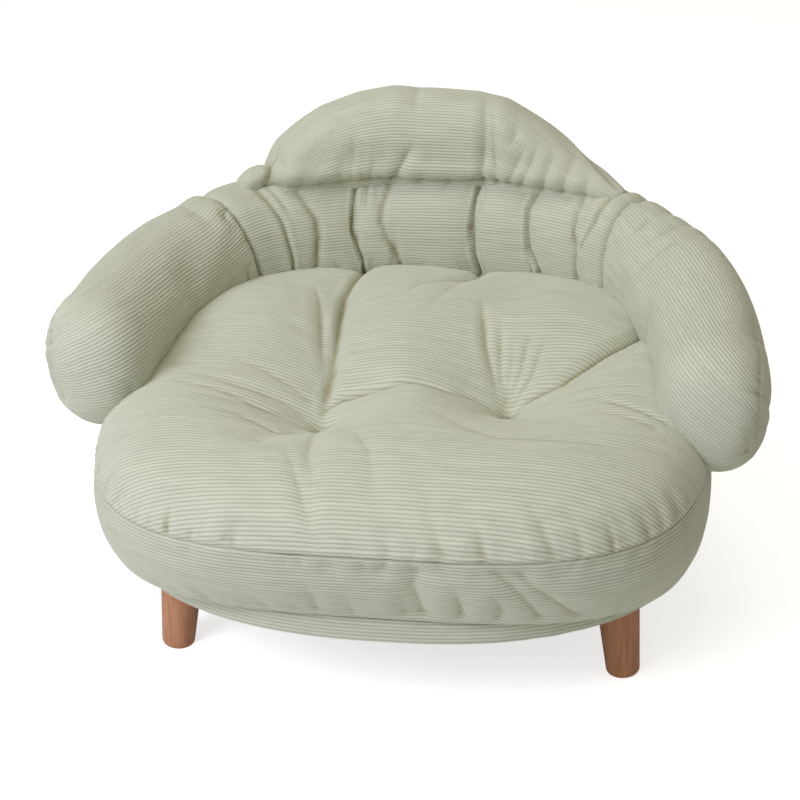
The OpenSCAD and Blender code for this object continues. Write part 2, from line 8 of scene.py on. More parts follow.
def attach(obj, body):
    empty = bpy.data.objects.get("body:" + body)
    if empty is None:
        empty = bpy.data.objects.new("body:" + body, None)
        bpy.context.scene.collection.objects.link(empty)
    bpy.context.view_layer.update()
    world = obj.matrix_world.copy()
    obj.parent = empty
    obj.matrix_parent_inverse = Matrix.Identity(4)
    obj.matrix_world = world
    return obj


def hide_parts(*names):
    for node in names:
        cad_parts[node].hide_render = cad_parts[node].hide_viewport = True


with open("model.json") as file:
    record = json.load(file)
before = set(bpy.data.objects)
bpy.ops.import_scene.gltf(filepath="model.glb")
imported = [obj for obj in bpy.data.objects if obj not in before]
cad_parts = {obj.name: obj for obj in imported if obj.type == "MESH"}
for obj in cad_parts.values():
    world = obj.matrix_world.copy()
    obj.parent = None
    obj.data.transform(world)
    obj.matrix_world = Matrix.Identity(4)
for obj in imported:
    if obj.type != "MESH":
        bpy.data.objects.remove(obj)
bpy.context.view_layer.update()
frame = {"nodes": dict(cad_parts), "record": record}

# Pet sofa in pale wide-wale corduroy. Lengths are in millimetres until a mesh is made, then in metres.
nodes = frame["nodes"]
toMetres = 0.001

# shadeReach and shadeDepth size the painted shade in folds
cloth = {"wale": 4.0, "rowsPerWale": 4, "relief": 0.75, "profile": (0.0, 0.82, 1.0, 0.82), "middle": 0.6,
         "shadeReach": 6, "shadeDepth": 4.5}
seat = {"halfW": 302.0, "halfD": 293.0, "drawW": 6.0, "drawD": 51.0, "bulge": 8.0, "low": 130.8, "high": 98.0,
        "crown": 54.0, "fall": 6.0, "square": 3.3, "lowSquare": 3.4, "midY": -25.15}
seamZ = seat["low"] + seat["high"]
roll = {"halfW": 304.0, "halfD": 353.3, "square": 2.4, "section": 2.25, "top": 380.8, "backT": 50.0, "armT": 54.0,
        "backRise": 152.0, "armRise": 125.0, "armDrop": 11.0, "fore": 60.0, "reach": 106.0, "round": 62.0,
        "corner": 54.0, "roundPower": 2.4}
base = {"halfW": 297.0, "halfD": 241.0, "square": 2.35, "hem": 34.0, "hemLow": 103.5, "top": 130.5, "edge": 8.0,
        "hemEdge": 3.0, "cloth": 1.5}


# shared curve and grid work
def mix(a, b, u):
    return a * (1 - u) + b * u


def ease(u):
    v = np.clip(u, 0, 1)
    return v * v * (3 - 2 * v)


def bell(gap, reach):
    return np.exp(-(gap / reach) ** 2)


def runAlong(line):
    return np.concatenate([[0], np.cumsum(np.linalg.norm(np.diff(line, axis=0), axis=1))])


def planRadius(a, b, square, angle):
    return (np.abs(np.cos(angle) / a) ** square + np.abs(np.sin(angle) / b) ** square) ** (-1 / square)


def halfWidthAt(a, b, square, y):
    return a * np.maximum(1 - np.abs(y / b) ** square, 0) ** (1 / square)


def cubicWeights(places, count, wrap):
    # carries a coarse row of values, as a smooth curve, to finer places from 0 to 1
    last = count if wrap else count - 1
    t = np.clip(places, 0, 1) * last
    k = np.minimum(t.astype(int), last - 1)
    f = t - k
    weights = ((-f + 2 * f ** 2 - f ** 3) / 2, (2 - 5 * f ** 2 + 3 * f ** 3) / 2,
               (f + 4 * f ** 2 - 3 * f ** 3) / 2, (f ** 3 - f ** 2) / 2)
    table = np.zeros((len(places), count))
    for j, weight in enumerate(weights):
        at = (k + j - 1) % count if wrap else np.clip(k + j - 1, 0, count - 1)
        np.add.at(table, (np.arange(len(places)), at), weight)
    return table


def spread(count, wrap):
    return np.arange(count) / (count if wrap else count - 1)


def neighbours(points, axis, wrap):
    # the points before and after each; at an open end, a point is its own missing neighbour
    before, after = np.roll(points, 1, axis), np.roll(points, -1, axis)
    if not wrap:
        for side, at in ((before, 0), (after, -1)):
            ends = [slice(None)] * 3
            ends[axis] = at
            side[tuple(ends)] = points[tuple(ends)]
    return before, after


def gridNormals(points, wrapRows, wrapCols, outward):
    steps = []
    for axis, wrap in ((1, wrapCols), (0, wrapRows)):
        before, after = neighbours(points, axis, wrap)
        steps.append(after - before)
    normal = np.cross(*steps)
    return outward * normal / np.maximum(np.linalg.norm(normal, axis=2, keepdims=True), 1e-9)


def gridCorners(rows, cols, wrapRows, wrapCols):
    r, c = np.meshgrid(np.arange(rows if wrapRows else rows - 1), np.arange(cols if wrapCols else cols - 1),
                       indexing="ij")
    corners = [(r, c), (r, c + 1), (r + 1, c + 1), (r + 1, c)]
    quads = np.stack([(a % rows) * cols + b % cols for a, b in corners], -1).reshape(-1, 4)
    places = np.stack([np.stack([b, a], -1) for a, b in corners], 2).reshape(-1, 4, 2).astype(float)
    return quads, places


def volumeSign(points, quads):
    p = points.reshape(-1, 3)[quads]
    one = np.einsum("ij,ij->i", p[:, 0], np.cross(p[:, 1], p[:, 2]))
    two = np.einsum("ij,ij->i", p[:, 0], np.cross(p[:, 2], p[:, 3]))
    return 1.0 if (one + two).sum() > 0 else -1.0


def gridLoops(rows, cols, wrapRows, wrapCols):
    # open edges of a grid, to be closed by fans
    ids = np.arange(rows * cols).reshape(rows, cols)
    if wrapRows and wrapCols:
        return []
    if wrapRows:
        return [ids[::-1, 0], ids[:, -1]]
    if wrapCols:
        return [ids[0], ids[-1][::-1]]
    return [np.concatenate([ids[0], ids[1:, -1], ids[-1, -2::-1], ids[-2:0:-1, 0]])]


def newObject(name, data):
    obj = bpy.data.objects.new(name, data)
    bpy.context.scene.collection.objects.link(obj)
    return obj


def makeMesh(name, points, wrapRows, wrapCols, unitU, unitV, caps=None):
    # closed smooth mesh over a grid of points; each open edge is closed round its middle
    rows, cols = points.shape[:2]
    quads, places = gridCorners(rows, cols, wrapRows, wrapCols)
    verts = points.reshape(-1, 3)
    way = int(volumeSign(points - verts.mean(0), quads))
    faces = quads[:, ::way].tolist()
    uvs = (places * np.array([unitU, unitV]))[:, ::way].reshape(-1, 2).tolist()
    for k, loop in enumerate(gridLoops(rows, cols, wrapRows, wrapCols)):
        middle = np.array(caps[k]) if caps else verts[loop].mean(0)
        faces += [[int(b), int(a), len(verts)][::way] for a, b in zip(loop, np.roll(loop, -1))]
        uvs += [[0.0, 0.5]] * (3 * len(loop))
        verts = np.concatenate([verts, middle[None]])
    mesh = bpy.data.meshes.new(name)
    mesh.from_pydata((verts * toMetres).tolist(), [], faces)
    mesh.uv_layers.new(name="cloth").data.foreach_set("uv", np.array(uvs).ravel())
    mesh.polygons.foreach_set("use_smooth", [True] * len(mesh.polygons))
    mesh.update()
    return newObject(name, mesh)


# settling cloth over its filling
settling = {"frames": 20, "quality": 6, "mass": 0.25, "tension": 12.0, "shear": 4.0, "bending": 0.5, "smoothing": 3}


def settle(name, points, wrapRows, wrapCols, held, pressure, spare, cap, outward):
    # how far a coarse copy of the cover moves when it is blown up from inside, held at its seams and tufts
    rows, cols = points.shape[:2]
    quads, _ = gridCorners(rows, cols, wrapRows, wrapCols)
    if outward < 0:
        quads = quads[:, ::-1]
    mesh = bpy.data.meshes.new(name + "Slack")
    mesh.from_pydata((points.reshape(-1, 3) * toMetres).tolist(), [], quads.tolist())
    obj = newObject(name + "Slack", mesh)
    scene = bpy.context.scene
    group = obj.vertex_groups.new(name="held")
    weights = np.round(held.ravel(), 2)
    for value in np.unique(weights):
        if value > 0:
            group.add(np.nonzero(weights == value)[0].tolist(), float(value), "REPLACE")
    cover = obj.modifiers.new("cover", "CLOTH")
    look = cover.settings
    look.quality, look.mass = settling["quality"], settling["mass"]
    look.tension_stiffness = look.compression_stiffness = settling["tension"]
    look.shear_stiffness, look.bending_stiffness = settling["shear"], settling["bending"]
    look.use_pressure, look.uniform_pressure_force = True, pressure
    look.shrink_min = -spare
    look.vertex_group_mass = "held"
    look.effector_weights.gravity = 0
    cover.collision_settings.use_collision = False
    cover.point_cache.frame_start, cover.point_cache.frame_end = 1, settling["frames"]
    for k in range(1, settling["frames"] + 1):
        scene.frame_set(k)
    done = obj.evaluated_get(bpy.context.evaluated_depsgraph_get()).to_mesh()
    moved = np.empty(rows * cols * 3)
    done.vertices.foreach_get("co", moved)
    moved = moved.reshape(rows, cols, 3) / toMetres - points
    scene.frame_set(1)
    bpy.data.objects.remove(obj)
    bpy.data.meshes.remove(mesh)
    for _ in range(settling["smoothing"]):
        for axis, wrap in ((0, wrapRows), (1, wrapCols)):
            before, after = neighbours(moved, axis, wrap)
            moved = (before + 2 * moved + after) / 4
    far = np.linalg.norm(moved, axis=2, keepdims=True)
    print(f"{name}: cover settled, moved {far.mean():.1f} mm on average and {far.max():.1f} mm at most")
    return moved * cap / np.sqrt(cap ** 2 + far ** 2)


# folds, gathers and pressed places
def alongRoute(x, y, route):
    # distance to a bent line, and how far along it, from 0 to 1
    route = np.array(route, float)
    legs = np.linalg.norm(np.diff(route, axis=0), axis=1)
    ends = np.concatenate([[0], np.cumsum(legs)]) / legs.sum()
    gap, share, side = np.full(x.shape, 1e9), np.zeros(x.shape), np.zeros(x.shape)
    for k in range(len(route) - 1):
        a, step = route[k], route[k + 1] - route[k]
        t = np.clip(((x - a[0]) * step[0] + (y - a[1]) * step[1]) / (step @ step), 0, 1)
        dx, dy = x - a[0] - t * step[0], y - a[1] - t * step[1]
        near = np.hypot(dx, dy)
        closer = near < gap
        gap = np.where(closer, near, gap)
        share = np.where(closer, mix(ends[k], ends[k + 1], t), share)
        side = np.where(closer, np.sign(step[0] * dy - step[1] * dx), side)
    return gap, share, side


crease = {"shoulder": 0.16, "round": 1.0, "hollowRound": 6.0, "hollowLeast": 14.0}


def creases(x, y, folds):
    # sharp valleys with rounded shoulders, each in a broader hollow; sizes are spread evenly along its route
    total = np.zeros(np.broadcast(x, y).shape)
    for fold in folds:
        gap, share, side = alongRoute(x, y, fold["route"])
        sharp, hollow = (np.interp(share, np.linspace(0, 1, len(fold[k])), fold[k]) for k in ("sharp", "hollow"))
        wide = fold["wide"] * (1 + fold["lean"] * side)
        total += sharp * (crease["shoulder"] * bell(gap - 2.6 * wide, 1.5 * wide)
                          - np.exp(-np.sqrt(gap ** 2 + crease["round"] ** 2) / wide))
        total -= hollow * np.exp(-np.sqrt(gap ** 2 + crease["hollowRound"] ** 2)
                                 / max(4.2 * fold["wide"], crease["hollowLeast"]))
    return total


def fold(route, sharp, wide=4.0, hollow=(0.0,), lean=0.0):
    return {"route": route, "sharp": sharp, "wide": wide, "hollow": hollow, "lean": lean}


def gathers(t, d, marks):
    # ridges and valleys square to a seam: place along it, height, half width, reach and lean of each
    total = np.zeros(np.broadcast(t, d).shape)
    for place, high, wide, reach, lean in marks:
        total += high * bell(t - place - lean * d, wide * (1 + d / reach * 0.6)) * np.exp(-(d / reach) ** 1.5)
    return total


def gatherMarks(seed, zones):
    # zones: from, to, spacing, height, half width, reach
    draw = np.random.default_rng(seed)
    marks = []
    for start, end, gap, high, wide, reach in zones:
        at = start
        while at < end:
            size = draw.uniform(0.45, 1.25)
            marks.append((at, (-1 if draw.random() < 0.7 else 0.6) * high * size, wide * draw.uniform(0.7, 1.3),
                          reach * draw.uniform(0.5, 1.3), draw.uniform(-0.25, 0.25)))
            at += gap * draw.uniform(0.5, 1.5)
    return marks


def drift(points, moves):
    # small shifts of whole regions, as the sewn bed isn't quite even
    for middle, reach, shift in moves:
        gap = np.linalg.norm(points - np.array(middle, float), axis=2, keepdims=True)
        points = points + np.array(shift, float) * np.exp(-(gap / reach) ** 2)
    return points


covers = {}


def paintedFoldShade(points, normal, wrapRows, wrapCols):
    # how far a place lies under the cloth a few millimetres away on both sides, for painted shade in the folds
    pitch = max(np.linalg.norm(np.diff(points, axis=1), axis=2).mean(), 0.5)
    total = np.zeros(points.shape[:2])
    reach = cloth["shadeReach"]
    for axis, wrap, far in ((0, wrapRows, reach), (1, wrapCols, max(int(round(reach / pitch)), 1))):
        near = (np.roll(points, far, axis) + np.roll(points, -far, axis)) / 2 - points
        rise = np.einsum("rck,rck->rc", near, normal)
        if not wrap:
            ends = np.minimum(np.arange(points.shape[axis]), np.arange(points.shape[axis])[::-1]) >= far
            rise = rise * (ends[:, None] if axis == 0 else ends[None, :])
        total += rise
    return np.clip(total / cloth["shadeDepth"], 0, 1)


def makeCover(name, surface, look):
    # fine corduroy cover: settled shape, then gathers, then the wales themselves
    rows, cols, wrapRows, wrapCols = look["rows"], look["cols"], look["wrapRows"], look["wrapCols"]
    u, v = spread(cols, wrapCols)[None, :], spread(rows, wrapRows)[:, None]
    points = surface(u, v)
    quads, _ = gridCorners(rows, cols, wrapRows, wrapCols)
    outward = volumeSign(points - points.reshape(-1, 3).mean(0), quads)
    if "slack" in look:
        slack = look["slack"]
        cu, cv = spread(slack["cols"], wrapCols)[None, :], spread(slack["rows"], wrapRows)[:, None]
        coarse = surface(cu, cv)
        moved = settle(name, coarse, wrapRows, wrapCols, slack["held"](cu, cv, coarse), slack["pressure"],
                       slack["spare"], slack["cap"], outward)
        across = cubicWeights(u[0], slack["cols"], wrapCols)
        along = cubicWeights(v[:, 0], slack["rows"], wrapRows)
        points = points + np.einsum("ra,abk,cb->rck", along, moved, across, optimize=True)
    normal = gridNormals(points, wrapRows, wrapCols, outward)
    if "gathers" in look:
        points = points + normal * look["gathers"](u, v, points)[..., None]
    points = drift(points, look.get("drift", ()))
    normal = gridNormals(points, wrapRows, wrapCols, outward)
    # painted shade: how deep each place lies in a fold, for the material to darken
    hollow = paintedFoldShade(points, normal, wrapRows, wrapCols)
    pitch = np.linalg.norm(np.roll(points, -1, 0) - points, axis=2)
    room = np.clip(pitch / (cloth["wale"] / cloth["rowsPerWale"]), 0, 1)
    wale = np.array(cloth["profile"])[np.arange(rows) % cloth["rowsPerWale"]][:, None]
    points = points + normal * (look.get("relief", cloth["relief"]) * room * (wale - cloth["middle"]))[..., None]
    if "after" in look:
        points = look["after"](points)
    columns = np.linalg.norm(np.diff(points[rows // 2], axis=0), axis=1).mean()
    obj = makeMesh(name, points, wrapRows, wrapCols, columns / cloth["wale"], 1 / cloth["rowsPerWale"],
                   look.get("caps"))
    # painted shade in folds, stored in the fold attribute
    shade = np.zeros(len(obj.data.vertices))
    shade[:rows * cols] = hollow.ravel()
    obj.data.attributes.new("fold", "FLOAT", "POINT").data.foreach_set("value", shade)
    covers[name] = (points, normal)
    print(f"{name}: {rows} by {cols} points")
    finishPiece(obj, look["body"], look.get("slot", "corduroy"), (look["node"],))
    return obj


# materials
def material(name):
    mat = bpy.data.materials.new(name)
    mat.use_nodes = True
    tree = mat.node_tree
    tree.nodes.clear()
    out = tree.nodes.new("ShaderNodeOutputMaterial")
    skin = tree.nodes.new("ShaderNodeBsdfPrincipled")
    tree.links.new(skin.outputs[0], out.inputs[0])
    return mat, tree, skin


def feed(tree, node, inputs):
    for key, value in inputs.items():
        if isinstance(value, bpy.types.NodeSocket):
            tree.links.new(value, node.inputs[key])
        else:
            node.inputs[key].default_value = value


def add(tree, kind, inputs={}, **props):
    node = tree.nodes.new(kind)
    for key, value in props.items():
        setattr(node, key, value)
    feed(tree, node, inputs)
    return node


def maths(tree, kind, a, b=0.0, c=0.0):
    return add(tree, "ShaderNodeMath", {0: a, 1: b, 2: c}, operation=kind).outputs[0]


def noise(tree, where, scale, detail=3.0, rough=0.55):
    return add(tree, "ShaderNodeTexNoise", {"Vector": where, "Scale": scale, "Detail": detail,
                                            "Roughness": rough}).outputs[0]


def mixColour(tree, factor, a, b, blend="MIX"):
    return add(tree, "ShaderNodeMix", {0: factor, 6: a, 7: b}, data_type="RGBA", blend_type=blend).outputs[2]


def ramp(tree, value, stops):
    node = add(tree, "ShaderNodeValToRGB", {0: value})
    bars = node.color_ramp.elements
    while len(bars) < len(stops):
        bars.new(0.5)
    for bar, (place, shade) in zip(bars, stops):
        bar.position, bar.color = place, shade if len(shade) == 4 else (*shade, 1)
    return node.outputs[0]


def grey(level):
    return (level, level, level, 1)


def bump(tree, height, strength, distance):
    return add(tree, "ShaderNodeBump", {"Height": height, "Strength": strength, "Distance": distance}).outputs[0]


def objectPlace(tree):
    return add(tree, "ShaderNodeTexCoord").outputs["Object"]


def scaled(tree, where, scale):
    return add(tree, "ShaderNodeMapping", {"Vector": where, "Scale": scale}).outputs[0]


# paintedGrooveShade and sunk are painted shade: darker grooves between the wales, and darker, warmer folds
corduroyLook = {"ridge": (0.665, 0.677, 0.590), "paintedGrooveShade": (0.43, 0.44, 0.335), "warm": (0.65, 0.635, 0.475),
                "sunk": (0.62, 0.58, 0.46), "sheen": 0.25}


def corduroy():
    mat, tree, skin = material("corduroy")
    where = objectPlace(tree)
    threads = add(tree, "ShaderNodeUVMap", uv_map="cloth").outputs[0]
    across = add(tree, "ShaderNodeSeparateXYZ", {0: threads}).outputs[1]
    # painted shade: the grooves between the wales are painted darker and the ridge tops a little lighter, with random
    # pile fuzz mixed in
    grooveShadeAndFuzz = maths(tree, "PINGPONG", across, 0.5)
    grooveShadeAndFuzz = maths(tree, "MULTIPLY", grooveShadeAndFuzz, 2.0)
    fuzz = noise(tree, where, 1400.0, 2.0)
    grooveShadeAndFuzz = maths(tree, "ADD", grooveShadeAndFuzz, maths(tree, "MULTIPLY_ADD", fuzz, 0.3, -0.15))
    tone = ramp(tree, grooveShadeAndFuzz, ((0.02, corduroyLook["paintedGrooveShade"]), (0.42, corduroyLook["ridge"]),
                             (0.95, tuple(1.05 * c for c in corduroyLook["ridge"]))))
    broad = noise(tree, where, 5.0, 3.0)
    tone = mixColour(tree, maths(tree, "MULTIPLY", broad, 0.32), tone, (*corduroyLook["warm"], 1))
    # painted shade: folds are darkened and warmed with the sunk colour, by the fold attribute
    sunk = add(tree, "ShaderNodeAttribute", attribute_name="fold", attribute_type="GEOMETRY").outputs["Fac"]
    tone = mixColour(tree, sunk, tone, (*corduroyLook["sunk"], 1), "MULTIPLY")
    brushed = noise(tree, scaled(tree, threads, (0.06, 0.5, 1)), 1.0, 4.0, 0.6)
    shade = ramp(tree, brushed, ((0.25, grey(0.9)), (0.75, grey(1.06))))
    tone = mixColour(tree, 1.0, tone, shade, "MULTIPLY")
    feed(tree, skin, {
        "Base Color": tone, "Roughness": 0.92, "Specular IOR Level": 0.2, "Sheen Weight": corduroyLook["sheen"],
        "Sheen Roughness": 0.45, "Sheen Tint": (0.93, 0.95, 0.86, 1), "Normal": bump(tree, fuzz, 0.35, 0.0006)})
    return mat


def plainCloth(name, dark, light, scale, rough=0.9, weave=0.0):
    mat, tree, skin = material(name)
    where = objectPlace(tree)
    speck = noise(tree, where, scale, 4.0, 0.65)
    height = speck
    if weave:
        parts = add(tree, "ShaderNodeSeparateXYZ", {0: where})
        one = maths(tree, "SINE", maths(tree, "MULTIPLY", parts.outputs[0], weave))
        two = maths(tree, "SINE", maths(tree, "MULTIPLY", parts.outputs[2], weave))
        height = maths(tree, "MULTIPLY_ADD", maths(tree, "MULTIPLY", one, two), 0.5, speck)
    feed(tree, skin, {"Base Color": ramp(tree, speck, ((0.3, dark), (0.7, light))), "Roughness": rough,
                      "Normal": bump(tree, height, 0.5, 0.0004)})
    return mat


def beech():
    mat, tree, skin = material("beechLegs")
    where = objectPlace(tree)
    along = scaled(tree, where, (1.0, 1.0, 0.07))
    grain = noise(tree, along, 210.0, 5.0, 0.6)
    broad = noise(tree, along, 42.0, 3.0)
    tone = ramp(tree, grain, ((0.3, (0.36, 0.125, 0.052)), (0.52, (0.54, 0.215, 0.098)),
                              (0.75, (0.64, 0.29, 0.148))))
    tone = mixColour(tree, maths(tree, "MULTIPLY", broad, 0.5), tone, (0.62, 0.36, 0.235, 1))
    flecks = noise(tree, scaled(tree, where, (1.0, 1.0, 0.12)), 900.0, 2.0)
    fleck = ramp(tree, flecks, ((0.62, grey(1.0)), (0.72, grey(0.72))))
    tone = mixColour(tree, 1.0, tone, fleck, "MULTIPLY")
    feed(tree, skin, {"Base Color": tone, "Roughness": ramp(tree, grain, ((0.3, grey(0.52)), (0.7, grey(0.4)))),
                      "Normal": bump(tree, grain, 0.12, 0.0005)})
    return mat


def plywood():
    mat, tree, skin = material("birchPly")
    where = objectPlace(tree)
    height = add(tree, "ShaderNodeSeparateXYZ", {0: where}).outputs[2]
    ply = maths(tree, "PINGPONG", maths(tree, "MULTIPLY", height, 600.0), 1.0)
    grain = noise(tree, scaled(tree, where, (0.08, 1.0, 1.0)), 160.0, 4.0)
    tone = ramp(tree, grain, ((0.3, (0.52, 0.36, 0.2)), (0.7, (0.68, 0.5, 0.32))))
    tone = mixColour(tree, 1.0, tone, ramp(tree, ply, ((0.2, grey(0.72)), (0.5, grey(1.0)))), "MULTIPLY")
    feed(tree, skin, {"Base Color": tone, "Roughness": 0.7, "Normal": bump(tree, grain, 0.1, 0.0005)})
    return mat


def zinc(name, tone, rough):
    mat, tree, skin = material(name)
    where = objectPlace(tree)
    bloom = noise(tree, where, 260.0, 4.0, 0.7)
    scratch = noise(tree, scaled(tree, where, (1.0, 0.05, 1.0)), 1500.0, 2.0)
    shade = mixColour(tree, bloom, (*(0.82 * c for c in tone), 1), (*tone, 1))
    feed(tree, skin, {"Base Color": shade, "Metallic": 1.0, "Normal": bump(tree, scratch, 0.08, 0.0002),
                      "Roughness": ramp(tree, scratch, ((0.3, grey(rough)), (0.7, grey(rough + 0.15))))})
    return mat


mats = {"corduroy": corduroy(),
        "filling": plainCloth("fibreFill", (0.72, 0.71, 0.66), (0.9, 0.89, 0.85), 420.0),
        "lining": plainCloth("dustCloth", (0.022, 0.022, 0.025), (0.055, 0.055, 0.06), 900.0, 0.85, 2600.0),
        "thread": plainCloth("sewingThread", (0.50, 0.51, 0.39), (0.62, 0.63, 0.5), 2400.0, 0.7),
        "zip_tape": plainCloth("zipTape", (0.40, 0.42, 0.31), (0.5, 0.52, 0.40), 1500.0, 0.85, 5200.0),
        "leg_wood": beech(), "board": plywood(), "steel": zinc("zincPlate", (0.66, 0.67, 0.69), 0.32)}
print("materials made")

for entry in frame["record"]["subparts"]:
    carried = nodes[entry["node"]]
    carried.data.materials.clear()
    carried.data.materials.append(mats[entry["material_slot"]])


def finishPiece(obj, body, slot, replaced=()):
    if not obj.data.materials:
        obj.data.materials.append(mats[slot])
    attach(obj, body)
    if replaced:
        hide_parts(*replaced)


# seat cushion
def seatPlace(share):
    return (share[0] * seat["halfW"], share[1] * seat["halfD"])


tufts = {"places": ((-0.25, -0.27), (0.34, -0.08)), "depth": (30.0, 29.0), "radius": (28.0, 82.0), "pinch": 6.0,
         "pinchRadius": 11.0, "round": 4.0, "stretch": 0.9, "join": 4, "held": 26.0, "heldFade": 16.0}
seatFolds = [
    fold(((-.26, -.2), (-.262, -.12), (-.259, .003), (-.267, .131), (-.282, .301), (-.294, .512), (-.28, .7),
          (-.27, .85), (-.265, .99)), (2, 6, 8, 9, 9, 8, 8, 9, 10), 3.6, (0, 8, 12, 14, 15, 14, 13, 13, 13), -0.2),
    fold(((-.262, -.12), (-.288, .017), (-.323, .174), (-.361, .37), (-.415, .589)), (1, 5, 6, 4, 0), 5, (2, 4, 0)),
    fold(((-.262, -.11), (-.272, .02), (-.305, .25)), (0, 4.5, 0), 3.5),
    fold(((-.25, -.16), (-.24, .02), (-.235, .2)), (0, 4, 0), 3.5),
    fold(((-.255, -.17), (-.197, -.12), (-.138, -.11), (-.06, -.1), (.035, -.085), (.133, -.086), (.227, -.06),
          (.31, -.07)), (2, 6, 9, 9, 8, 5, 3, 1), 4.0, (3, 8, 12, 12, 9, 5, 0), -0.2),
    fold(((.32, -.06), (.288, .04), (.245, .19), (.203, .427)), (2, 6, 6, 0), 4.0),
    fold(((.33, -.06), (.319, .004), (.301, .12), (.28, .309)), (2, 6, 5, 0), 3.4),
    fold(((.335, -.06), (.331, .005), (.338, .092), (.343, .222)), (2, 6, 4, 0), 3.2),
    fold(((.345, -.06), (.346, .006), (.372, .102), (.39, .271)), (2, 6, 5, 0), 3.4),
    fold(((.35, -.06), (.361, -.003), (.404, .069), (.443, .232)), (2, 5, 4, 0), 4.0),
    fold(((.35, -.1), (.383, -.03), (.421, -.015), (.514, .027), (.607, .124), (.702, .243), (.78, .36)),
         (1, 5, 7, 8, 9, 11, 12), 3.8, (0, 6, 11, 14, 15, 16, 16), 0.2),
    fold(((.62, -.213), (.696, -.261), (.762, -.296), (.846, -.331)), (0, 4, 5, 5), 4.0, (2,)),
    fold(((.561, -.349), (.671, -.346), (.81, -.389)), (0, 2.5, 3), 4.0),
    fold(((.5, -.12), (.62, -.11), (.76, -.13)), (0, 3, 2), 4.0),
    fold(((.5, -.2), (.64, -.19), (.78, -.2)), (0, 2.5, 2), 4.0),
    fold(((.019, -.26), (.098, -.363), (.192, -.456), (.271, -.515), (.347, -.552), (.455, -.554), (.723, -.548),
          (.94, -.481)), (0, 1, 2, 2.5, 2, 1.5, 1.5, 3), 6.0, (0, 2, 2, 1)),
    fold(((-.25, -.4), (-.358, -.456), (-.489, -.414), (-.63, -.425)), (2, 5, 4, 0), 5.0, (2, 3, 0)),
    fold(((-.33, -.3), (-.418, -.3), (-.566, -.278), (-.719, -.255)), (2, 5, 4, 2), 4.5),
    fold(((-.33, -.22), (-.407, -.208), (-.533, -.207), (-.674, -.195)), (2, 4, 4, 1), 4.5),
    fold(((-.33, -.26), (-.5, -.32), (-.7, -.34)), (2, 3, 0), 4.5),
    fold(((-.32, -.15), (-.45, -.1), (-.6, -.06)), (2, 3, 0), 4.5),
    fold(((-.235, -.42), (-.228, -.547), (-.217, -.694), (-.184, -.806), (-.165, -.95)), (2, 4, 3.5, 2, 2), 7.0, (2,)),
    fold(((-.174, -.486), (-.085, -.577), (-.034, -.678), (-.009, -.794), (0, -.93)), (0, 2.5, 2.5, 1.5, 0), 8.0),
    fold(((-.3, -.6), (-.266, -.727), (-.209, -.866), (-.175, -.952), (-.144, -.995)), (0, 2.5, 3.5, 4, 4), 7.0),
    fold(((-.266, -.594), (-.357, -.6), (-.482, -.535)), (0, 3, 0), 8.0),
    fold(((.163, .95), (.163, .736), (.117, .659), (.079, .608), (-.018, .525), (-.066, .401)),
         (9, 6, 4, 3, 2, 0), 5.0, (14, 12, 9, 6, 4, 0)),
    fold(((.163, .75), (.1, .51), (.036, .332), (-.006, .254)), (4, 3, 2, 0), 8.0)]
deepFolds = (0, 4, 10)
# fuller places: middle, reach and height
seatPillows = ((-30, -140, 90, 11), (150, -190, 90, 5), (-170, 90, 80, 14), (10, 130, 72, 14), (150, 130, 66, 14),
               (215, -70, 60, 7), (-210, -130, 70, 6), (-60, 190, 50, 6))

clothGrid = {"across": 300, "fine": 500, "shares": 401, "end": 0.0012}


def planShare(x, y):
    # 0 at the cushion's middle and 1 at its seam, seen from above
    a, b = np.abs(x / seat["halfW"]), np.abs(y / seat["halfD"])
    return (a ** seat["square"] + b ** seat["square"]) ** (1 / seat["square"])


def clothTables():
    # how the flat-cut panel lies over the crown: length of cloth from the middle line to the rim at each place
    # across, and the place in plan of each share of that length
    across = seat["halfW"] * np.sin(np.linspace(0, math.pi / 2, clothGrid["across"]))
    halfD = halfWidthAt(seat["halfD"], seat["halfW"], seat["square"], across)[:, None]
    y = halfD * np.sin(np.linspace(0, math.pi / 2, clothGrid["fine"]))[None, :]
    s = planShare(across[:, None], y)
    z = seat["crown"] * np.sqrt(np.maximum(1 - s ** seat["fall"], 0))
    run = np.concatenate([0 * halfD, np.cumsum(np.hypot(np.diff(y), np.diff(z)), 1)], 1)
    shares = np.linspace(0, 1, clothGrid["shares"])
    return across, run[:, -1], np.array([np.interp(shares * each[-1], each, place) for each, place in zip(run, y)])


def acrossTable():
    # even steps of cloth from side to side
    place = np.sin(np.linspace(-math.pi / 2, math.pi / 2, 4001))
    high = seat["crown"] * np.sqrt(np.maximum(1 - np.abs(place) ** seat["fall"], 0))
    run = np.concatenate([[0], np.cumsum(np.hypot(np.diff(place * seat["halfW"]), np.diff(high)))])
    return run / run[-1], place


clothAcross, clothLength, clothPlaces = clothTables()
colRun, colPlace = acrossTable()


def seatPlan(u, v):
    # q is the length of cloth from the middle line, x the place across
    end = clothGrid["end"]
    q = clothLength[0] * (2 * (end + v * (1 - 2 * end)) - 1)
    x = np.interp(np.abs(q), clothLength[::-1], clothAcross[::-1]) * np.interp(u, colRun, colPlace)
    q, x = np.broadcast_arrays(q, x)
    share = np.clip(np.abs(q) / np.maximum(np.interp(np.abs(x), clothAcross, clothLength), 1e-6), 0, 1)
    i = np.interp(np.abs(x), clothAcross, np.arange(float(clothGrid["across"])))
    j = share * (clothGrid["shares"] - 1)
    i0, j0 = (np.minimum(at.astype(int), size - 2) for at, size in zip((i, j), clothPlaces.shape))
    fi, fj = i - i0, j - j0
    y = mix(mix(clothPlaces[i0, j0], clothPlaces[i0 + 1, j0], fi),
            mix(clothPlaces[i0, j0 + 1], clothPlaces[i0 + 1, j0 + 1], fi), fj) * np.sign(q)
    return x, y, np.clip(planShare(x, y), 0, 1)


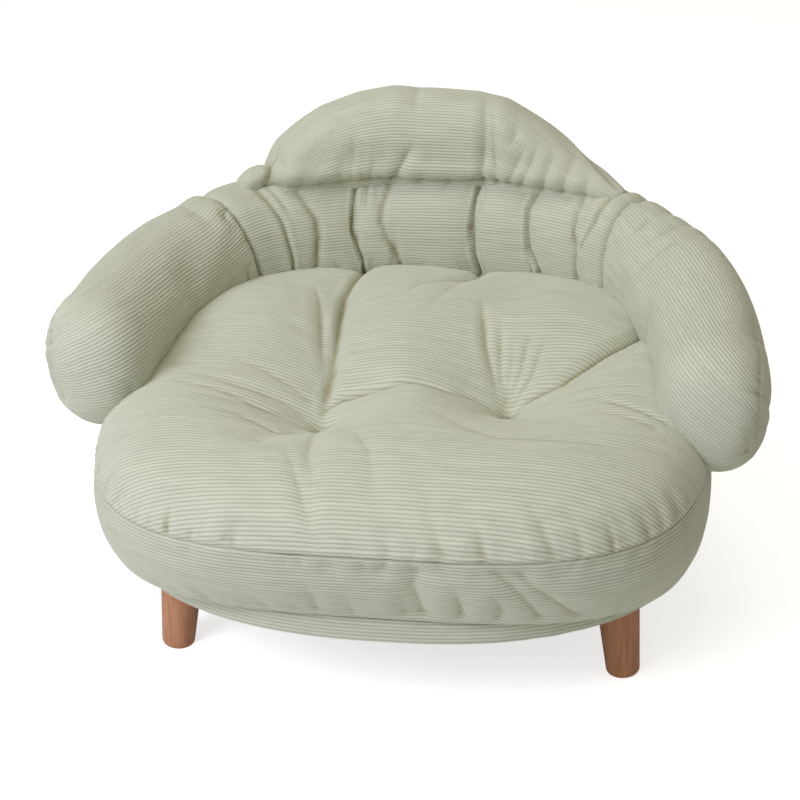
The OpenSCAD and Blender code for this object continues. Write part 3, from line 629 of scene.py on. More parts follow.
def seatHeight(x, y, s):
    dip = np.zeros(x.shape)
    for share in tufts["places"]:
        px, py = seatPlace(share)
        gap = np.hypot(x - px, (y - py) * tufts["stretch"])
        dip += (tufts["depth"][0] * np.exp(-np.sqrt(gap ** 2 + tufts["round"] ** 2) / tufts["radius"][0])
                + tufts["depth"][1] * bell(gap, tufts["radius"][1])
                + tufts["pinch"] * bell(gap, tufts["pinchRadius"])) ** tufts["join"]
    dip = dip ** (1 / tufts["join"])
    placed = [dict(each, route=[seatPlace(share) for share in each["route"]]) for each in seatFolds]
    # folds are shallower inside a tuft
    rise = seat["crown"] - dip + creases(x, y, placed) * (1 - 0.4 * np.clip(dip / 50, 0, 1))
    for px, py, reach, high in seatPillows:
        rise = rise + high * bell(np.hypot(x - px, y - py), reach)
    fall = np.sqrt(np.maximum(1 - s ** seat["fall"], 0))
    return seamZ + fall * rise


def seatTopSurface(u, v):
    x, y, s = seatPlan(u, v)
    return np.stack([x, y + seat["midY"], seatHeight(x, y, s)], -1)


def rimPlace(points, halfW, halfD, square):
    # length along a plan outline from the right side, and distance in from it
    x, y = points[..., 0], points[..., 1] - seat["midY"]
    angle = np.arctan2(y, x)
    ring = np.linspace(-math.pi, math.pi, 1441)
    r = planRadius(halfW, halfD, square, ring)
    edge = np.stack([r * np.cos(ring), r * np.sin(ring)], -1)
    run = np.concatenate([[0], np.cumsum(np.linalg.norm(np.diff(edge, axis=0), axis=1))])
    return np.interp(angle, ring, run), planRadius(halfW, halfD, square, angle) - np.hypot(x, y), run[-1]


_, _, rimLength = rimPlace(np.zeros((1, 1, 3)), seat["halfW"], seat["halfD"], seat["square"])
frontRim = rimLength / 4  # the outline starts at the left side, and its front middle is a quarter of the way on
topSeamMarks = gatherMarks(11, (
    (60, frontRim - 120, 17, 2.6, 4.2, 26), (frontRim - 120, frontRim + 20, 34, 1.2, 5.0, 18),
    (frontRim + 20, frontRim + 330, 16, 2.8, 4.4, 30), (frontRim + 330, rimLength - 40, 26, 1.6, 5.0, 22)))


def seatGathers(u, v, points):
    along, inward, _ = rimPlace(points, seat["halfW"], seat["halfD"], seat["square"])
    down = np.hypot(inward, np.maximum(points[..., 2] - seamZ, 0))
    pinch = bell(down - 4.5, 2.5) - 1.2 * np.exp(-down / 1.6)
    return gathers(along, down, topSeamMarks) * (1 - np.exp(-down / 3)) + pinch


def seatHeld(u, v, points):
    x, y = points[..., 0], points[..., 1] - seat["midY"]
    held = ease((planShare(x, y) - 0.955) / 0.03)
    for share in tufts["places"]:
        px, py = seatPlace(share)
        held = np.maximum(held, ease((tufts["held"] - np.hypot(x - px, y - py)) / tufts["heldFade"]))
    for k in deepFolds:
        gap, _, _ = alongRoute(x, y, [seatPlace(share) for share in seatFolds[k]["route"]])
        held = np.maximum(held, 0.6 * bell(gap, 9))
    return held


bedDrift = (((-290, -200, 215), 110, (5, 0, 0)),)
makeCover("seatTop", seatTopSurface, {
    "node": "seat_top", "body": "bed", "fill": 0.75, "rows": 604, "cols": 301, "wrapRows": False, "wrapCols": False,
    "gathers": seatGathers, "drift": bedDrift, "caps": ((0, seat["midY"], seamZ - 6),),
    "slack": {"rows": 112, "cols": 108, "held": seatHeld, "pressure": 3.0, "spare": 0.02, "cap": 6.0}})

gussetLook = {"node": "seat_gusset", "body": "bed", "fill": 0.7, "rows": 96, "cols": 620, "wrapRows": True,
              "wrapCols": True, "outerRows": 90, "thick": 14.0, "drift": bedDrift}
gussetFolds = [
    fold(((443, 128), (449, 170), (448, 196)), (3, 3, 0), 9.0), fold(((485, 128), (483, 190)), (3, 0), 9.0),
    fold(((541, 128), (539, 196)), (3, 0), 8.0), fold(((564, 128), (549, 192), (554, 226)), (4, 5, 2), 11.0, (3, 3)),
    fold(((601, 128), (601, 148), (586, 200)), (4, 5, 0), 9.0),
    fold(((640, 128), (640, 153), (622, 195)), (4, 4, 0), 9.0),
    fold(((688, 128), (685, 140), (641, 196), (616, 228)), (4, 5, 4, 2), 9.0),
    fold(((735, 128), (661, 195), (634, 229)), (4, 5, 2), 9.0), fold(((764, 128), (761, 170)), (3, 0), 8.0),
    fold(((520, 226), (512, 190)), (3, 0), 8.0), fold(((470, 226), (466, 196)), (3, 0), 8.0)]
gussetMarks = gatherMarks(5, (
    (40, 230, 30, 2.0, 7.0, 40), (230, 440, 15, 2.2, 5.0, 26), (790, rimLength - 40, 30, 2.2, 7.0, 40)))
gussetTopMarks = gatherMarks(6, (
    (60, frontRim - 60, 22, 1.6, 4.6, 18), (frontRim - 60, frontRim + 330, 19, 1.8, 4.6, 20),
    (frontRim + 330, rimLength - 40, 30, 1.2, 5.0, 18)))
zipPlace = {"slope": math.atan(seat["drawD"] / seat["high"]), "half": 81.0, "tape": 26.0, "sunk": 0.949}
zipPlace["y"] = seat["halfD"] - seat["drawD"] / 2 + seat["bulge"] * math.sin(math.radians(180 * 0.37))
zipMatrix = np.array(Matrix.Translation((0, seat["midY"] + zipPlace["y"], seat["low"] + seat["high"] / 2))
                     @ Matrix.Rotation(-zipPlace["slope"], 4, "X")
                     @ Matrix.Translation((0, -zipPlace["sunk"], 0)))


def wallShare(v, look):
    # a closed wall's rows run up its outer face, then back down inside
    row, outer = v * look["rows"], look["outerRows"]
    inside = row >= outer
    return np.where(inside, 1 - (row - outer + 0.5) / (look["rows"] - outer), row / (outer - 1)), inside


def outerFace(look):
    return np.arange(look["rows"])[:, None] < look["outerRows"]


def ringAround(halfW, halfD, square, angle, level):
    r = planRadius(halfW, halfD, square, angle)
    return np.stack(np.broadcast_arrays(r * np.cos(angle), r * np.sin(angle) + seat["midY"], level), -1)


def gussetSurface(u, v):
    share, inside = wallShare(v, gussetLook)
    edge = np.minimum(share, 1 - share) * seat["high"]
    bulge = seat["bulge"] * np.sin(math.pi * share) - 1.6 * np.exp(-edge / 2.0)
    bulge = bulge - np.where(inside, gussetLook["thick"], 0)
    return ringAround(mix(seat["halfW"] - seat["drawW"], seat["halfW"], share) + bulge,
                      mix(seat["halfD"] - seat["drawD"], seat["halfD"], share) + bulge,
                      mix(seat["lowSquare"], seat["square"], share), 2 * math.pi * u,
                      seat["low"] + share * seat["high"])


def gussetGathers(u, v, points):
    along, _, _ = rimPlace(points, seat["halfW"], seat["halfD"], seat["square"])
    up, down = points[..., 2] - seat["low"], seamZ - points[..., 2]
    total = gathers(along, up, gussetMarks) + creases(along, points[..., 2], gussetFolds)
    return outerFace(gussetLook) * (total * ease(up / 16) * ease(down / 16)
                                    + gathers(along, down, gussetTopMarks) * (1 - np.exp(-down / 3)))


def zipWindow(points):
    # the side panel is turned in along the zip tape
    inverse = np.linalg.inv(zipMatrix)
    local = points @ inverse[:3, :3].T + inverse[:3, 3]
    gapX = np.maximum(np.abs(local[..., 0]) - zipPlace["half"], 0)
    gapZ = np.maximum(np.abs(local[..., 2]) - zipPlace["tape"] / 2, 0)
    near = np.exp(-(gapX + gapZ) / 2.5) * (local[..., 1] > -30) * (points[..., 1] > 0)
    sunk = np.minimum(local[..., 1], -0.35)
    local[..., 1] = np.where((gapX + gapZ) <= 0, sunk, local[..., 1] - near * 0.4)
    return local @ zipMatrix[:3, :3].T + zipMatrix[:3, 3]


makeCover("seatGusset", gussetSurface, dict(gussetLook, gathers=gussetGathers, after=zipWindow))


# flat panels: the cushion's underside, and the top of the base
def flatPanel(name, halfW, halfD, square, level, thick, look):
    # two faces of one panel, with its wales from side to side; facing is +1 up or -1 down
    def surface(u, v):
        y = 0.9995 * halfD * (np.sin((v - 0.5) * math.pi) + 2 * v - 1) / 2
        x, y = np.broadcast_arrays(halfWidthAt(halfW, halfD, square, y) * np.sin((u - 0.5) * math.pi), y)
        s = np.clip((np.abs(x / halfW) ** square + np.abs(y / halfD) ** square) ** (1 / square), 0, 1)
        sag = look.get("puff", 0) * (1 - s ** 4) * (0.8 + 0.2 * np.sin(x / 47) * np.cos(y / 61))
        edge = look["facing"] * (thick / 2) * np.sqrt(1 - s ** 40)
        return np.stack([x, y + seat["midY"], level + edge + sag], -1)

    return makeCover(name, surface, dict(look, wrapRows=False, wrapCols=False,
                                         caps=((0, seat["midY"], level - look["facing"] * thick / 2),)))


flatPanel("seatBottom", seat["halfW"] - seat["drawW"] - 1, seat["halfD"] - seat["drawD"] - 1, seat["lowSquare"],
          seat["low"] + 1.5, 3.0, {"node": "seat_bottom", "body": "bed", "fill": 0.3, "rows": 480, "cols": 41,
                                   "facing": -1})

# base: padded top, taut band and turned hem
flatPanel("baseTop", base["halfW"] - 6, base["halfD"] - 6, base["square"], base["top"] - 2.0, 3.0,
          {"node": "base_wrap", "body": "base", "fill": 0.4, "rows": 470, "cols": 41, "facing": 1})
bandLook = {"node": "base_wrap", "body": "base", "fill": 0.4, "rows": 72, "cols": 380, "wrapRows": True,
            "wrapCols": True, "outerRows": 66, "deepest": 1.5}
bandMarks = gatherMarks(21, ((30, frontRim - 40, 60, 0.7, 5, 14), (frontRim + 40, frontRim + 130, 16, 1.4, 4, 16),
                             (frontRim + 130, rimLength - 40, 46, 0.8, 5, 14)))
bandFolds = [fold(((660, 100), (662, 134)), (2, 3), 4.0, (1,)), fold(((703, 100), (701, 134)), (2, 3), 4.0, (1,)),
             fold(((480, 118), (481, 134)), (0, 1.5), 5.0)]


def bandProfile():
    # section of the band from the hem's inner edge, round the board and up to the top seam: inset and height
    low, high, r, e = base["hemLow"], base["top"], base["hemEdge"], base["edge"]
    turn = np.linspace(0, math.pi / 2, 7)
    hem = [(inset, low) for inset in np.linspace(base["hem"], r, 12)]
    foot = [(r - r * math.sin(a), low + r - r * math.cos(a)) for a in turn[1:]]
    head = [(e - e * math.cos(a), high - e + e * math.sin(a)) for a in turn]
    line = np.array(hem + foot + head)
    return runAlong(line) / runAlong(line)[-1], line


bandRun, bandLine = bandProfile()


def bandSurface(u, v):
    share, inside = wallShare(v, bandLook)
    skin = np.where(inside, base["cloth"], 0)
    inset = np.interp(share, bandRun, bandLine[:, 0]) + skin
    high = np.clip(np.interp(share, bandRun, bandLine[:, 1]), base["hemLow"] + skin, base["top"] - skin)
    return ringAround(base["halfW"] - inset, base["halfD"] - inset, base["square"], 2 * math.pi * u, high)


def bandGathers(u, v, points):
    along, inward, _ = rimPlace(points, base["halfW"], base["halfD"], base["square"])
    pleats = creases(along, points[..., 2], bandFolds) * ease((points[..., 2] - 108) / 10)
    total = gathers(along, base["top"] - points[..., 2], bandMarks) + pleats
    return outerFace(bandLook) * np.maximum(total, -bandLook["deepest"]) * (inward < 12)


makeCover("baseBand", bandSurface, dict(bandLook, gathers=bandGathers))


# bolsters on the seat's top seam
bolsterLook = {"body": "bed", "fill": 0.8, "wrapRows": True, "wrapCols": False}
bolsterSlack = {"pressure": 2.5, "spare": 0.015, "cap": 4.0}


def runPoint(angle):
    r = planRadius(roll["halfW"], roll["halfD"], roll["square"], angle)
    return np.stack([r * np.cos(angle), r * np.sin(angle) + seat["midY"] - roll["fore"]], -1)


def runOut(angle):
    near = 0.004
    step = runPoint(angle + near) - runPoint(angle - near)
    out = np.stack([step[..., 1], -step[..., 0]], -1)
    return out / np.linalg.norm(out, axis=-1, keepdims=True)


def sideAngle(y):
    x = halfWidthAt(roll["halfW"], roll["halfD"], roll["square"], y + roll["fore"])
    return np.arctan2(y + roll["fore"], x)


def backAngle(x):
    y = roll["halfD"] * (1 - np.abs(x / roll["halfW"]) ** roll["square"]) ** (1 / roll["square"])
    return np.arctan2(y, x)


cornerAngle = math.radians(roll["corner"])
tipAngle = float(sideAngle(-roll["reach"]))


def forward(angle):
    side = np.where(angle > math.pi / 2, math.pi - angle, angle)
    return ease((cornerAngle - side) / (cornerAngle - tipAngle)) ** 0.6


def rollSizes(angle):
    # middle height, half thickness and half height
    f = forward(angle)
    low = seamZ - roll["armDrop"] * f
    high = seamZ + mix(roll["backRise"], roll["armRise"], f)
    return (low + high) / 2, mix(roll["backT"], roll["armT"], f), (high - low) / 2


ringTurn = np.linspace(0, 2 * math.pi, 361)


def evenly(ring, v):
    run = runAlong(ring)
    at = v % 1 * run[-1]
    return np.stack([np.interp(at, run, ring[:, k]) for k in range(3)], -1), run / run[-1]


def farOut(start, ways, halfT, halfH):
    # distance from a place inside a bolster's rounded front end to its surface, each way
    near, far = np.zeros(len(ways)), np.full(len(ways), 400.0)
    power = roll["section"]
    for _ in range(26):
        middle = (near + far) / 2
        side, height, ahead = (start + ways * middle[:, None]).T
        keep = np.maximum(1 - (np.maximum(ahead, 0) / endRun) ** roll["roundPower"], 0) ** (
            power / roll["roundPower"])
        inside = (np.abs(side / halfT) ** power + np.abs(height / halfH) ** power <= keep) & (ahead < endRun)
        near, far = np.where(inside, middle, near), np.where(inside, far, middle)
    return near


def ringPoints(halfT, halfH, lean, v):
    # one ring of cloth, evenly spaced: bottom at 0, outer side at a quarter, top at a half; each point is a place to
    # the side, a height and a way ahead. A lean above 0 turns the ring's plane about a line low on the outer side
    power = roll["section"]
    along = 1 - np.cos(ringTurn)
    side = np.maximum(1 - np.abs(along - 1) ** power, 0) ** (1 / power) * np.sign(np.sin(ringTurn) + 1e-12)
    full = np.stack([halfT * side, halfH * (along - 1), 0 * side], -1)
    if lean <= 0:
        return evenly(full, v)[0]
    low = math.radians(arm["low"])
    c, n = math.cos(low) ** (2 / power), math.sin(low) ** (2 / power)
    hinge = np.array([halfT * c, -halfH * n, -arm["hinge"]])
    out = np.array([c ** (power - 1) / halfT, -n ** (power - 1) / halfH])
    out /= np.linalg.norm(out)
    start = evenly(full, v)[1][np.argmin(np.linalg.norm((full - hinge)[:180, :2], axis=1))]
    inward = np.array([*(-out * math.cos(lean)), math.sin(lean)])
    middle = hinge + inward * farOut(hinge - np.array([*out, 0]) * 1e-4, inward[None], halfT, halfH)[0] / 2
    ways = -np.cos(ringTurn)[:, None] * inward + np.sin(ringTurn)[:, None] * np.array([-out[1], out[0], 0])
    ring = middle + ways * farOut(middle, ways, halfT, halfH)[:, None] - np.array([0, 0, hinge[2]])
    return evenly(ring, v - start)[0]


# turn: how fast the cloth turns round the arm, at even steps from the tip to the joint, so that its wales keep the
# direction they have in the photo; low and hinge: how low the rings' turning line lies, in degrees, and how far it
# stands behind the rounding
arm = {"tipShare": 0.45, "girth": 415.0, "low": 40.0, "hinge": 40.0, "joint": {"armLeft": 50.0, "armRight": 51.0},
       "slant": {"armLeft": 0.32, "armRight": -0.04},
       "turn": {"armLeft": (-1.3, -1.05, -0.65, -0.38, -0.245, -0.132, -0.113, -0.068, -0.01, 0.115, 0.175),
                "armRight": (-0.87, -0.59, -0.3, -0.2, -0.27, -0.216, -0.166, -0.087, 0.012, 0.104, 0.194)}}
runAngles = np.linspace(tipAngle, math.pi - tipAngle, 1600)
runLengths = runAlong(runPoint(runAngles))


def runLengthAt(angle):
    return np.interp(angle, runAngles, runLengths)


def runAngleAt(length):
    return np.interp(length, runLengths, runAngles)


def bolsterRings(lengths, leans, slants, twists, v):
    rings = np.empty((len(v), len(lengths), 3))
    for k, (length, lean, slant, twist) in enumerate(zip(lengths, leans, slants, twists)):
        _, halfT, halfH = rollSizes(runAngleAt(length))
        side, height, ahead = ringPoints(halfT, halfH, lean, v - twist).T
        ahead = ahead + slant * height
        angle = runAngleAt(length - ahead)
        rings[:, k, :2] = runPoint(angle) + runOut(angle) * side[:, None]
        rings[:, k, 2] = rollSizes(angle)[0] + height
    return rings


armRuns = {side: float(runLengthAt(math.radians(angle))) for side, angle in arm["joint"].items()}
endRun = float(runLengthAt(sideAngle(roll["round"] - roll["reach"])))
armStart = endRun + arm["hinge"]


def armTurns(name):
    shares = np.linspace(0, 1, 401)
    pace = cubicWeights(shares, 11, False) @ np.array(arm["turn"][name])
    turned = np.concatenate([[0], np.cumsum((pace[1:] + pace[:-1]) / 2)]) / 400
    return shares, turned - turned[-1]


def tipLeans():
    # leans that step evenly over the rounded end, closer together where the rings close
    _, halfT, halfH = rollSizes(runAngleAt(armStart))
    leans = np.radians(np.concatenate([np.linspace(0.01, 88, 120), 90 - 2 * 0.5 ** np.linspace(0, 5, 12)[1:]]))
    tops = []
    for lean in leans:
        ring = ringPoints(halfT, halfH, lean, np.linspace(0, 1, 200))
        foot = ring[np.argmin(np.abs(ring[:, 2]) + np.abs(ring[:, 0] - halfT * 0.8))]
        tops.append(ring[np.argmax(np.linalg.norm(ring - foot, axis=1))])
    run = runAlong(np.array(tops))
    return run / run[-1], leans


armTwists = {side: armTurns(side) for side in arm["joint"]}
leanShares, leanSteps = tipLeans()


def armPlaces(name, u):
    tip = np.clip(1 - u / arm["tipShare"], 0, 1)
    leans = np.interp(tip, leanShares, leanSteps) * (tip > 0)
    lengths = armStart + (armRuns[name] - armStart) * np.clip((u - arm["tipShare"]) / (1 - arm["tipShare"]), 0, 1)
    slants = arm["slant"][name] * ease((lengths - armRuns[name] + 80) / 80)
    return lengths, leans, slants, np.interp(u, *armTwists[name])


def armSurface(name):
    side = np.array([-1.0 if name == "armLeft" else 1.0, 1.0, 1.0])

    def surface(u, v):
        return side * bolsterRings(*armPlaces(name, u[0]), v[:, 0])
    return surface


# places on the run are in degrees round it, and heights from the floor
def runFold(route, *sizes):
    return fold([(float(runLengthAt(math.radians(angle))), z) for angle, z in route], *sizes)


armFolds = {
    "armRight": [runFold(((45, 368), (46.5, 345)), (3, 0), 5.0), runFold(((40, 368), (42, 350)), (3, 0), 5.0),
                 runFold(((36, 364), (38, 340), (39, 320)), (3, 2, 0), 6.0),
                 runFold(((46.5, 300), (47, 262)), (0, 4), 4.0)],
    "armLeft": [runFold(((45.5, 362), (47.5, 343)), (4, 0), 4.0), runFold(((40, 372), (42, 350)), (3, 0), 6.0),
                runFold(((47, 320), (48.5, 290), (49, 262)), (0, 4, 5), 4.0)]}
for side in armFolds:
    armFolds[side] += [runFold(((a, 258), (a + 1.5, 290)), (5, 0), 4.5) for a in (38, 30, 17, 6)]
armMarks = gatherMarks(31, ((0, arm["girth"], 17, 1.8, 4.5, 26),))
armEdgeMarks = gatherMarks(33, ((-60, 260, 13, 1.8, 4.0, 12),))


armSeam = {"out": 41, "deep": 1.6, "wide": 1.6, "backTo": 110, "fade": 60, "over": 12}


def armGathers(name):
    def heights(u, v, points):
        lengths, leans, _, twists = armPlaces(name, u)
        section = (v - twists) % 1
        inner = ease((section - 0.36) / 0.12) * ease((1.02 - section) / 0.05)
        ahead = points[..., 1] - seat["midY"] + roll["fore"]
        angle = np.arctan2(ahead, np.abs(points[..., 0]))
        total = creases(runLengthAt(np.abs(angle)), points[..., 2], armFolds[name]) * inner
        # outer seam, round the rounded end and back along the top
        edge = np.abs(np.hypot(points[..., 0], ahead) - armSeam["out"]
                      - planRadius(roll["halfW"], roll["halfD"], roll["square"], angle))
        front = ease((armSeam["backTo"] - ahead) / armSeam["fade"]) * (points[..., 2] > seamZ + armSeam["over"])
        total = total - front * armSeam["deep"] * np.exp(-edge / armSeam["wide"])
        total = total + front * gathers(360 - ahead - points[..., 2], edge, armEdgeMarks)
        toJoint = armRuns[name] - lengths
        total = total + gathers(v * arm["girth"], toJoint, armMarks) * (leans <= 0)
        return total * ease((1.55 - leans) / 0.15) - jointDepth(toJoint) + 0 * v
    return heights


def jointDepth(gap):
    return 6.0 * np.exp(-np.abs(gap) / 2.6) + 4.0 * np.exp(-np.abs(gap) / 12.0)


def armHeld(name):
    def weights(u, v, points):
        lengths, leans, _, twists = armPlaces(name, u)
        section = (v - twists) % 1
        ends = np.maximum(ease((leans - 1.3) / 0.15), ease((8 - (armRuns[name] - lengths)) / 6))
        under = bell(np.minimum(section, 1 - section) * arm["girth"], 55)
        return np.maximum(ends + 0 * v, under)
    return weights


armDrift = {"armLeft": (((-345, -100, 260), 95, (0, 8, 8)), ((-300, 60, 360), 90, (2, 4, 2))),
            "armRight": (((350, -60, 330), 110, (-2, -6, -9)), ((320, -120, 240), 80, (2, -8, -2)))}
for name, node in (("armLeft", "arm_left"), ("armRight", "arm_right")):
    makeCover(name, armSurface(name), {
        **bolsterLook, "node": node, "rows": 432, "cols": 140, "gathers": armGathers(name), "drift": armDrift[name],
        "slack": dict(bolsterSlack, rows=76, cols=52, held=armHeld(name))})

backFolds = [
    runFold(((118.5, 378), (116.8, 355), (115.1, 338), (114.9, 318), (115.3, 297), (115.3, 262)),
         (1, 3, 5, 5, 4, 6), 3.6, (3, 4, 5)),
    runFold(((105.6, 382), (105.8, 366), (106.6, 349), (106.9, 322), (106.0, 298), (104.8, 279), (104.5, 258)),
         (9, 8, 8, 8, 9, 10, 10), 2.2, (8, 8, 9)),
    runFold(((103.3, 382), (103.3, 366), (103.9, 340)), (4, 3, 0), 3.2),
    runFold(((101.4, 382), (101.4, 365), (102.1, 335)), (4, 3, 0), 3.2),
    runFold(((99.2, 382), (99.4, 365), (100.5, 348), (100.9, 332), (99.7, 309), (97.6, 288), (96.5, 258)),
         (5, 4, 4, 3, 4, 6, 8), 3.2, (4, 4, 5)),
    runFold(((98.4, 340), (98.0, 300), (99.2, 262)), (0, 3, 4), 3.4),
    runFold(((82, 382), (82, 368), (82.7, 346), (83, 324), (82.4, 294), (81.3, 262)),
         (10, 10, 9, 9, 10, 11), 2.1, (9, 9, 10)),
    runFold(((70.2, 382), (70.4, 369), (71.2, 354), (70.8, 330), (70.3, 308), (68.1, 283), (67.5, 258)),
         (6, 7, 8, 8, 8, 9, 10), 2.2, (7, 8, 9)),
    runFold(((70.6, 301), (69.8, 280), (69.6, 258)), (0, 5, 8), 2.6),
    runFold(((60.8, 382), (60.1, 352), (58.5, 316), (58.3, 258)), (5, 6, 5, 7), 2.8, (4, 5, 5)),
    runFold(((54.8, 380), (55.4, 353), (56.6, 333), (57.8, 305)), (5, 4, 3, 0), 3.6),
    runFold(((124.6, 384), (123.4, 363), (122.4, 342), (121.8, 319), (120.9, 294), (120.5, 258)),
         (5, 6, 6, 6, 7, 8), 2.4, (4, 5, 5)),
    runFold(((123.1, 382), (121.4, 359), (120.6, 345)), (3, 3, 0), 3.2),
    runFold(((110.5, 262), (111.5, 292)), (4, 0), 4.0), runFold(((93, 262), (92, 290)), (4, 0), 4.0),
    runFold(((89, 382), (88.4, 362)), (3, 0), 4.0), runFold(((76, 262), (76.8, 285)), (4, 0), 4.0)]
backSeams = (266, 382)
backMarks = gatherMarks(41, ((0, 430, 13, 1.7, 4.0, 16),))
joints = (armRuns["armRight"], float(runLengthAt(math.pi - math.radians(arm["joint"]["armLeft"]))))


def channelTable():
    # columns of the back stand closer together at its sewn channels
    run = np.linspace(joints[1], joints[0], 1501)
    dense = np.ones(1501)
    for each in backFolds:
        middle = np.mean([place for place, _ in each["route"]])
        dense = dense + 2.2 * (each["wide"] < 3) * bell(run - middle, 14)
    share = np.concatenate([[0], np.cumsum((dense[1:] + dense[:-1]) / 2)])
    return share / share[-1], run


channelShare, channelRun = channelTable()


def backPlace(u):
    return np.interp(u, channelShare, channelRun)


def backSurface(u, v):
    lengths = backPlace(u[0])
    slants = (arm["slant"]["armRight"] * ease((joints[0] + 60 - lengths) / 60)
              - arm["slant"]["armLeft"] * ease((lengths - joints[1] + 60) / 60))
    return bolsterRings(lengths, 0 * lengths, slants, 0 * lengths, v[:, 0])


def backGathers(u, v, points):
    # the drawn channels run up the front and over the top, and fade down the back
    run = backPlace(u) + 0 * v
    front = ease((v - 0.34) / 0.16) * ease((1.03 - v) / 0.05) + 0.25 * (v < 0.4) * ease(v / 0.1)
    total = creases(run, np.minimum(points[..., 2], 380), backFolds) * front
    low, high = np.maximum(points[..., 2] - backSeams[0], 0), np.maximum(backSeams[1] - points[..., 2], 0)
    gap = np.minimum(run - joints[0], joints[1] - run)
    total = total + front * ease(gap / 25) * (gathers(run - joints[0], low, backMarks)
                                              + gathers(run - joints[0] + 7, high, backMarks))
    return total - jointDepth(gap)


def backHeld(u, v, points):
    run = backPlace(u) + 0 * v
    held = np.maximum(ease((joints[0] + 8 - run) / 6), ease((run - joints[1] + 8) / 6))
    return np.maximum(held, bell(np.minimum(v, 1 - v) * arm["girth"], 45))


makeCover("backRoll", backSurface, {
    **bolsterLook, "node": "back_roll", "rows": 464, "cols": 241, "gathers": backGathers,
    "slack": dict(bolsterSlack, rows=76, cols=90, held=backHeld)})

# height of the crown over the back roll at each place across, measured in millimetres
crown = {"thick": 44.0, "thin": 0.33, "tallest": 89.0, "sink": 26.0, "bunch": 0.35,
         "across": (-216, -213, -206, -196, -188, -183, -179, -174, -166, -150, -128, -88, -52, -12, 44, 73, 113, 137,
                    155, 174, 190, 200, 206),
         "high": (0, 5, 11, 14, 12, 9, 22, 34, 42, 54, 68, 82, 88, 86, 84, 78, 56, 40, 28, 17, 8, 3, 0)}


def crownHigh(x):
    # slightly smoothed, but closing to nothing at both ends
    near = [np.interp(x + shift, crown["across"], crown["high"]) for shift in (-5, -2.5, 0, 2.5, 5)]
    closing = np.interp(x, crown["across"], crown["high"])
    edge = np.minimum(x - crown["across"][0], crown["across"][-1] - x)
    return mix(closing, np.mean(near, axis=0), ease(edge / 12))


def crownSurface(u, v):
    # the sections stand closer together towards both ends
    middle, bunch = u[0] - 0.5, crown["bunch"]
    x = mix(crown["across"][0], crown["across"][-1],
            np.sin(middle * math.pi) * bunch / 2 + middle * (1 - bunch) + 0.5)
    rises = np.maximum(crownHigh(x), 0)
    rings = np.empty((v.shape[0], len(x), 3))
    for k, angle in enumerate(backAngle(x)):
        high, low = roll["top"] + rises[k], roll["top"] - crown["sink"]
        thick = crown["thick"] * (rises[k] / crown["tallest"]) ** crown["thin"]
        thick = thick * (1 - 0.35 * ease((-180 - x[k]) / 8))
        side, height, _ = ringPoints(thick, (high - low) / 2, 0, v[:, 0]).T
        rings[:, k, :2] = runPoint(angle) + runOut(angle) * side[:, None]
        rings[:, k, 2] = (high + low) / 2 + height
    return rings


crownFolds = [
    fold(((-107, 370), (-102, 402), (-97, 416)), (2, 2, 0), 7.0),
    fold(((-94, 378), (-89, 426), (-87, 442)), (2, 3, 0), 6.0),
    fold(((-82, 372), (-81, 407), (-83, 429)), (3, 2, 0), 5.0),
    fold(((-75, 370), (-70, 395), (-72, 410)), (4, 3, 0), 5.0), fold(((-64, 370), (-59, 400)), (4, 0), 5.0),
    fold(((-53, 366), (-49, 373), (-40, 392), (-24, 424)), (6, 6, 5, 0), 5.0, (4, 0)),
    fold(((50, 366), (50, 376), (52, 410), (53, 437), (52, 460)), (6, 6, 6, 4, 2), 4.4, (5, 5, 3)),
    fold(((66, 366), (65, 381), (63, 411), (62, 437), (61, 457)), (5, 5, 5, 4, 1), 4.4, (3, 3, 0)),
    fold(((76, 366), (79, 375), (90, 405), (101, 427)), (4, 5, 4, 0), 4.6),
    fold(((90, 366), (93, 375), (104, 403), (114, 427)), (4, 5, 4, 0), 4.6),
    fold(((80, 418), (84, 426), (91, 447)), (0, 3, 0), 4.0),
    fold(((115, 366), (118, 378), (124, 403), (131, 420)), (4, 5, 3, 0), 5.0),
    fold(((138, 366), (141, 379), (146, 399), (155, 412)), (4, 5, 3, 0), 5.0),
    fold(((163, 366), (165, 378), (170, 393)), (4, 4, 0), 5.0), fold(((39, 370), (30, 398)), (3, 0), 5.0),
    fold(((-25, 475), (-25, 463), (-24, 448)), (4, 4, 0), 8.0), fold(((12, 368), (10, 390)), (3, 0), 6.0),
    fold(((-150, 368), (-143, 392)), (3, 0), 6.0), fold(((-20, 368), (-12, 388)), (3, 0), 6.0),
    fold(((-128, 368), (-120, 388)), (2.5, 0), 6.0),
    fold(((-188, 360), (-184, 385), (-178, 408), (-170, 425)), (5, 6, 5, 1), 3.0)]


def crownGathers(u, v, points):
    front = ease((v - 0.42) / 0.1) * ease((1.02 - v) / 0.04) + 0.3 * (v < 0.45)
    low = points[..., 2] - roll["top"]
    lip = (5.5 * bell(low - 7, 11) - 4 * bell(low + 9, 6)) * ease((v - 0.5) / 0.08)
    ends = ease((points[..., 0] - crown["across"][0]) / 30) * ease((crown["across"][-1] - points[..., 0]) / 30)
    return creases(points[..., 0], points[..., 2], crownFolds) * front + lip * ends


def crownHeld(u, v, points):
    ends = np.maximum(ease((0.03 - u) / 0.02), ease((u - 0.97) / 0.02)) + 0 * v
    return np.maximum(ends, ease((378 - points[..., 2]) / 14))


makeCover("crownCover", crownSurface, {
    **bolsterLook, "node": "crown", "rows": 368, "cols": 201, "gathers": crownGathers,
    "slack": dict(bolsterSlack, rows=60, cols=92, held=crownHeld)})
print("covers made")

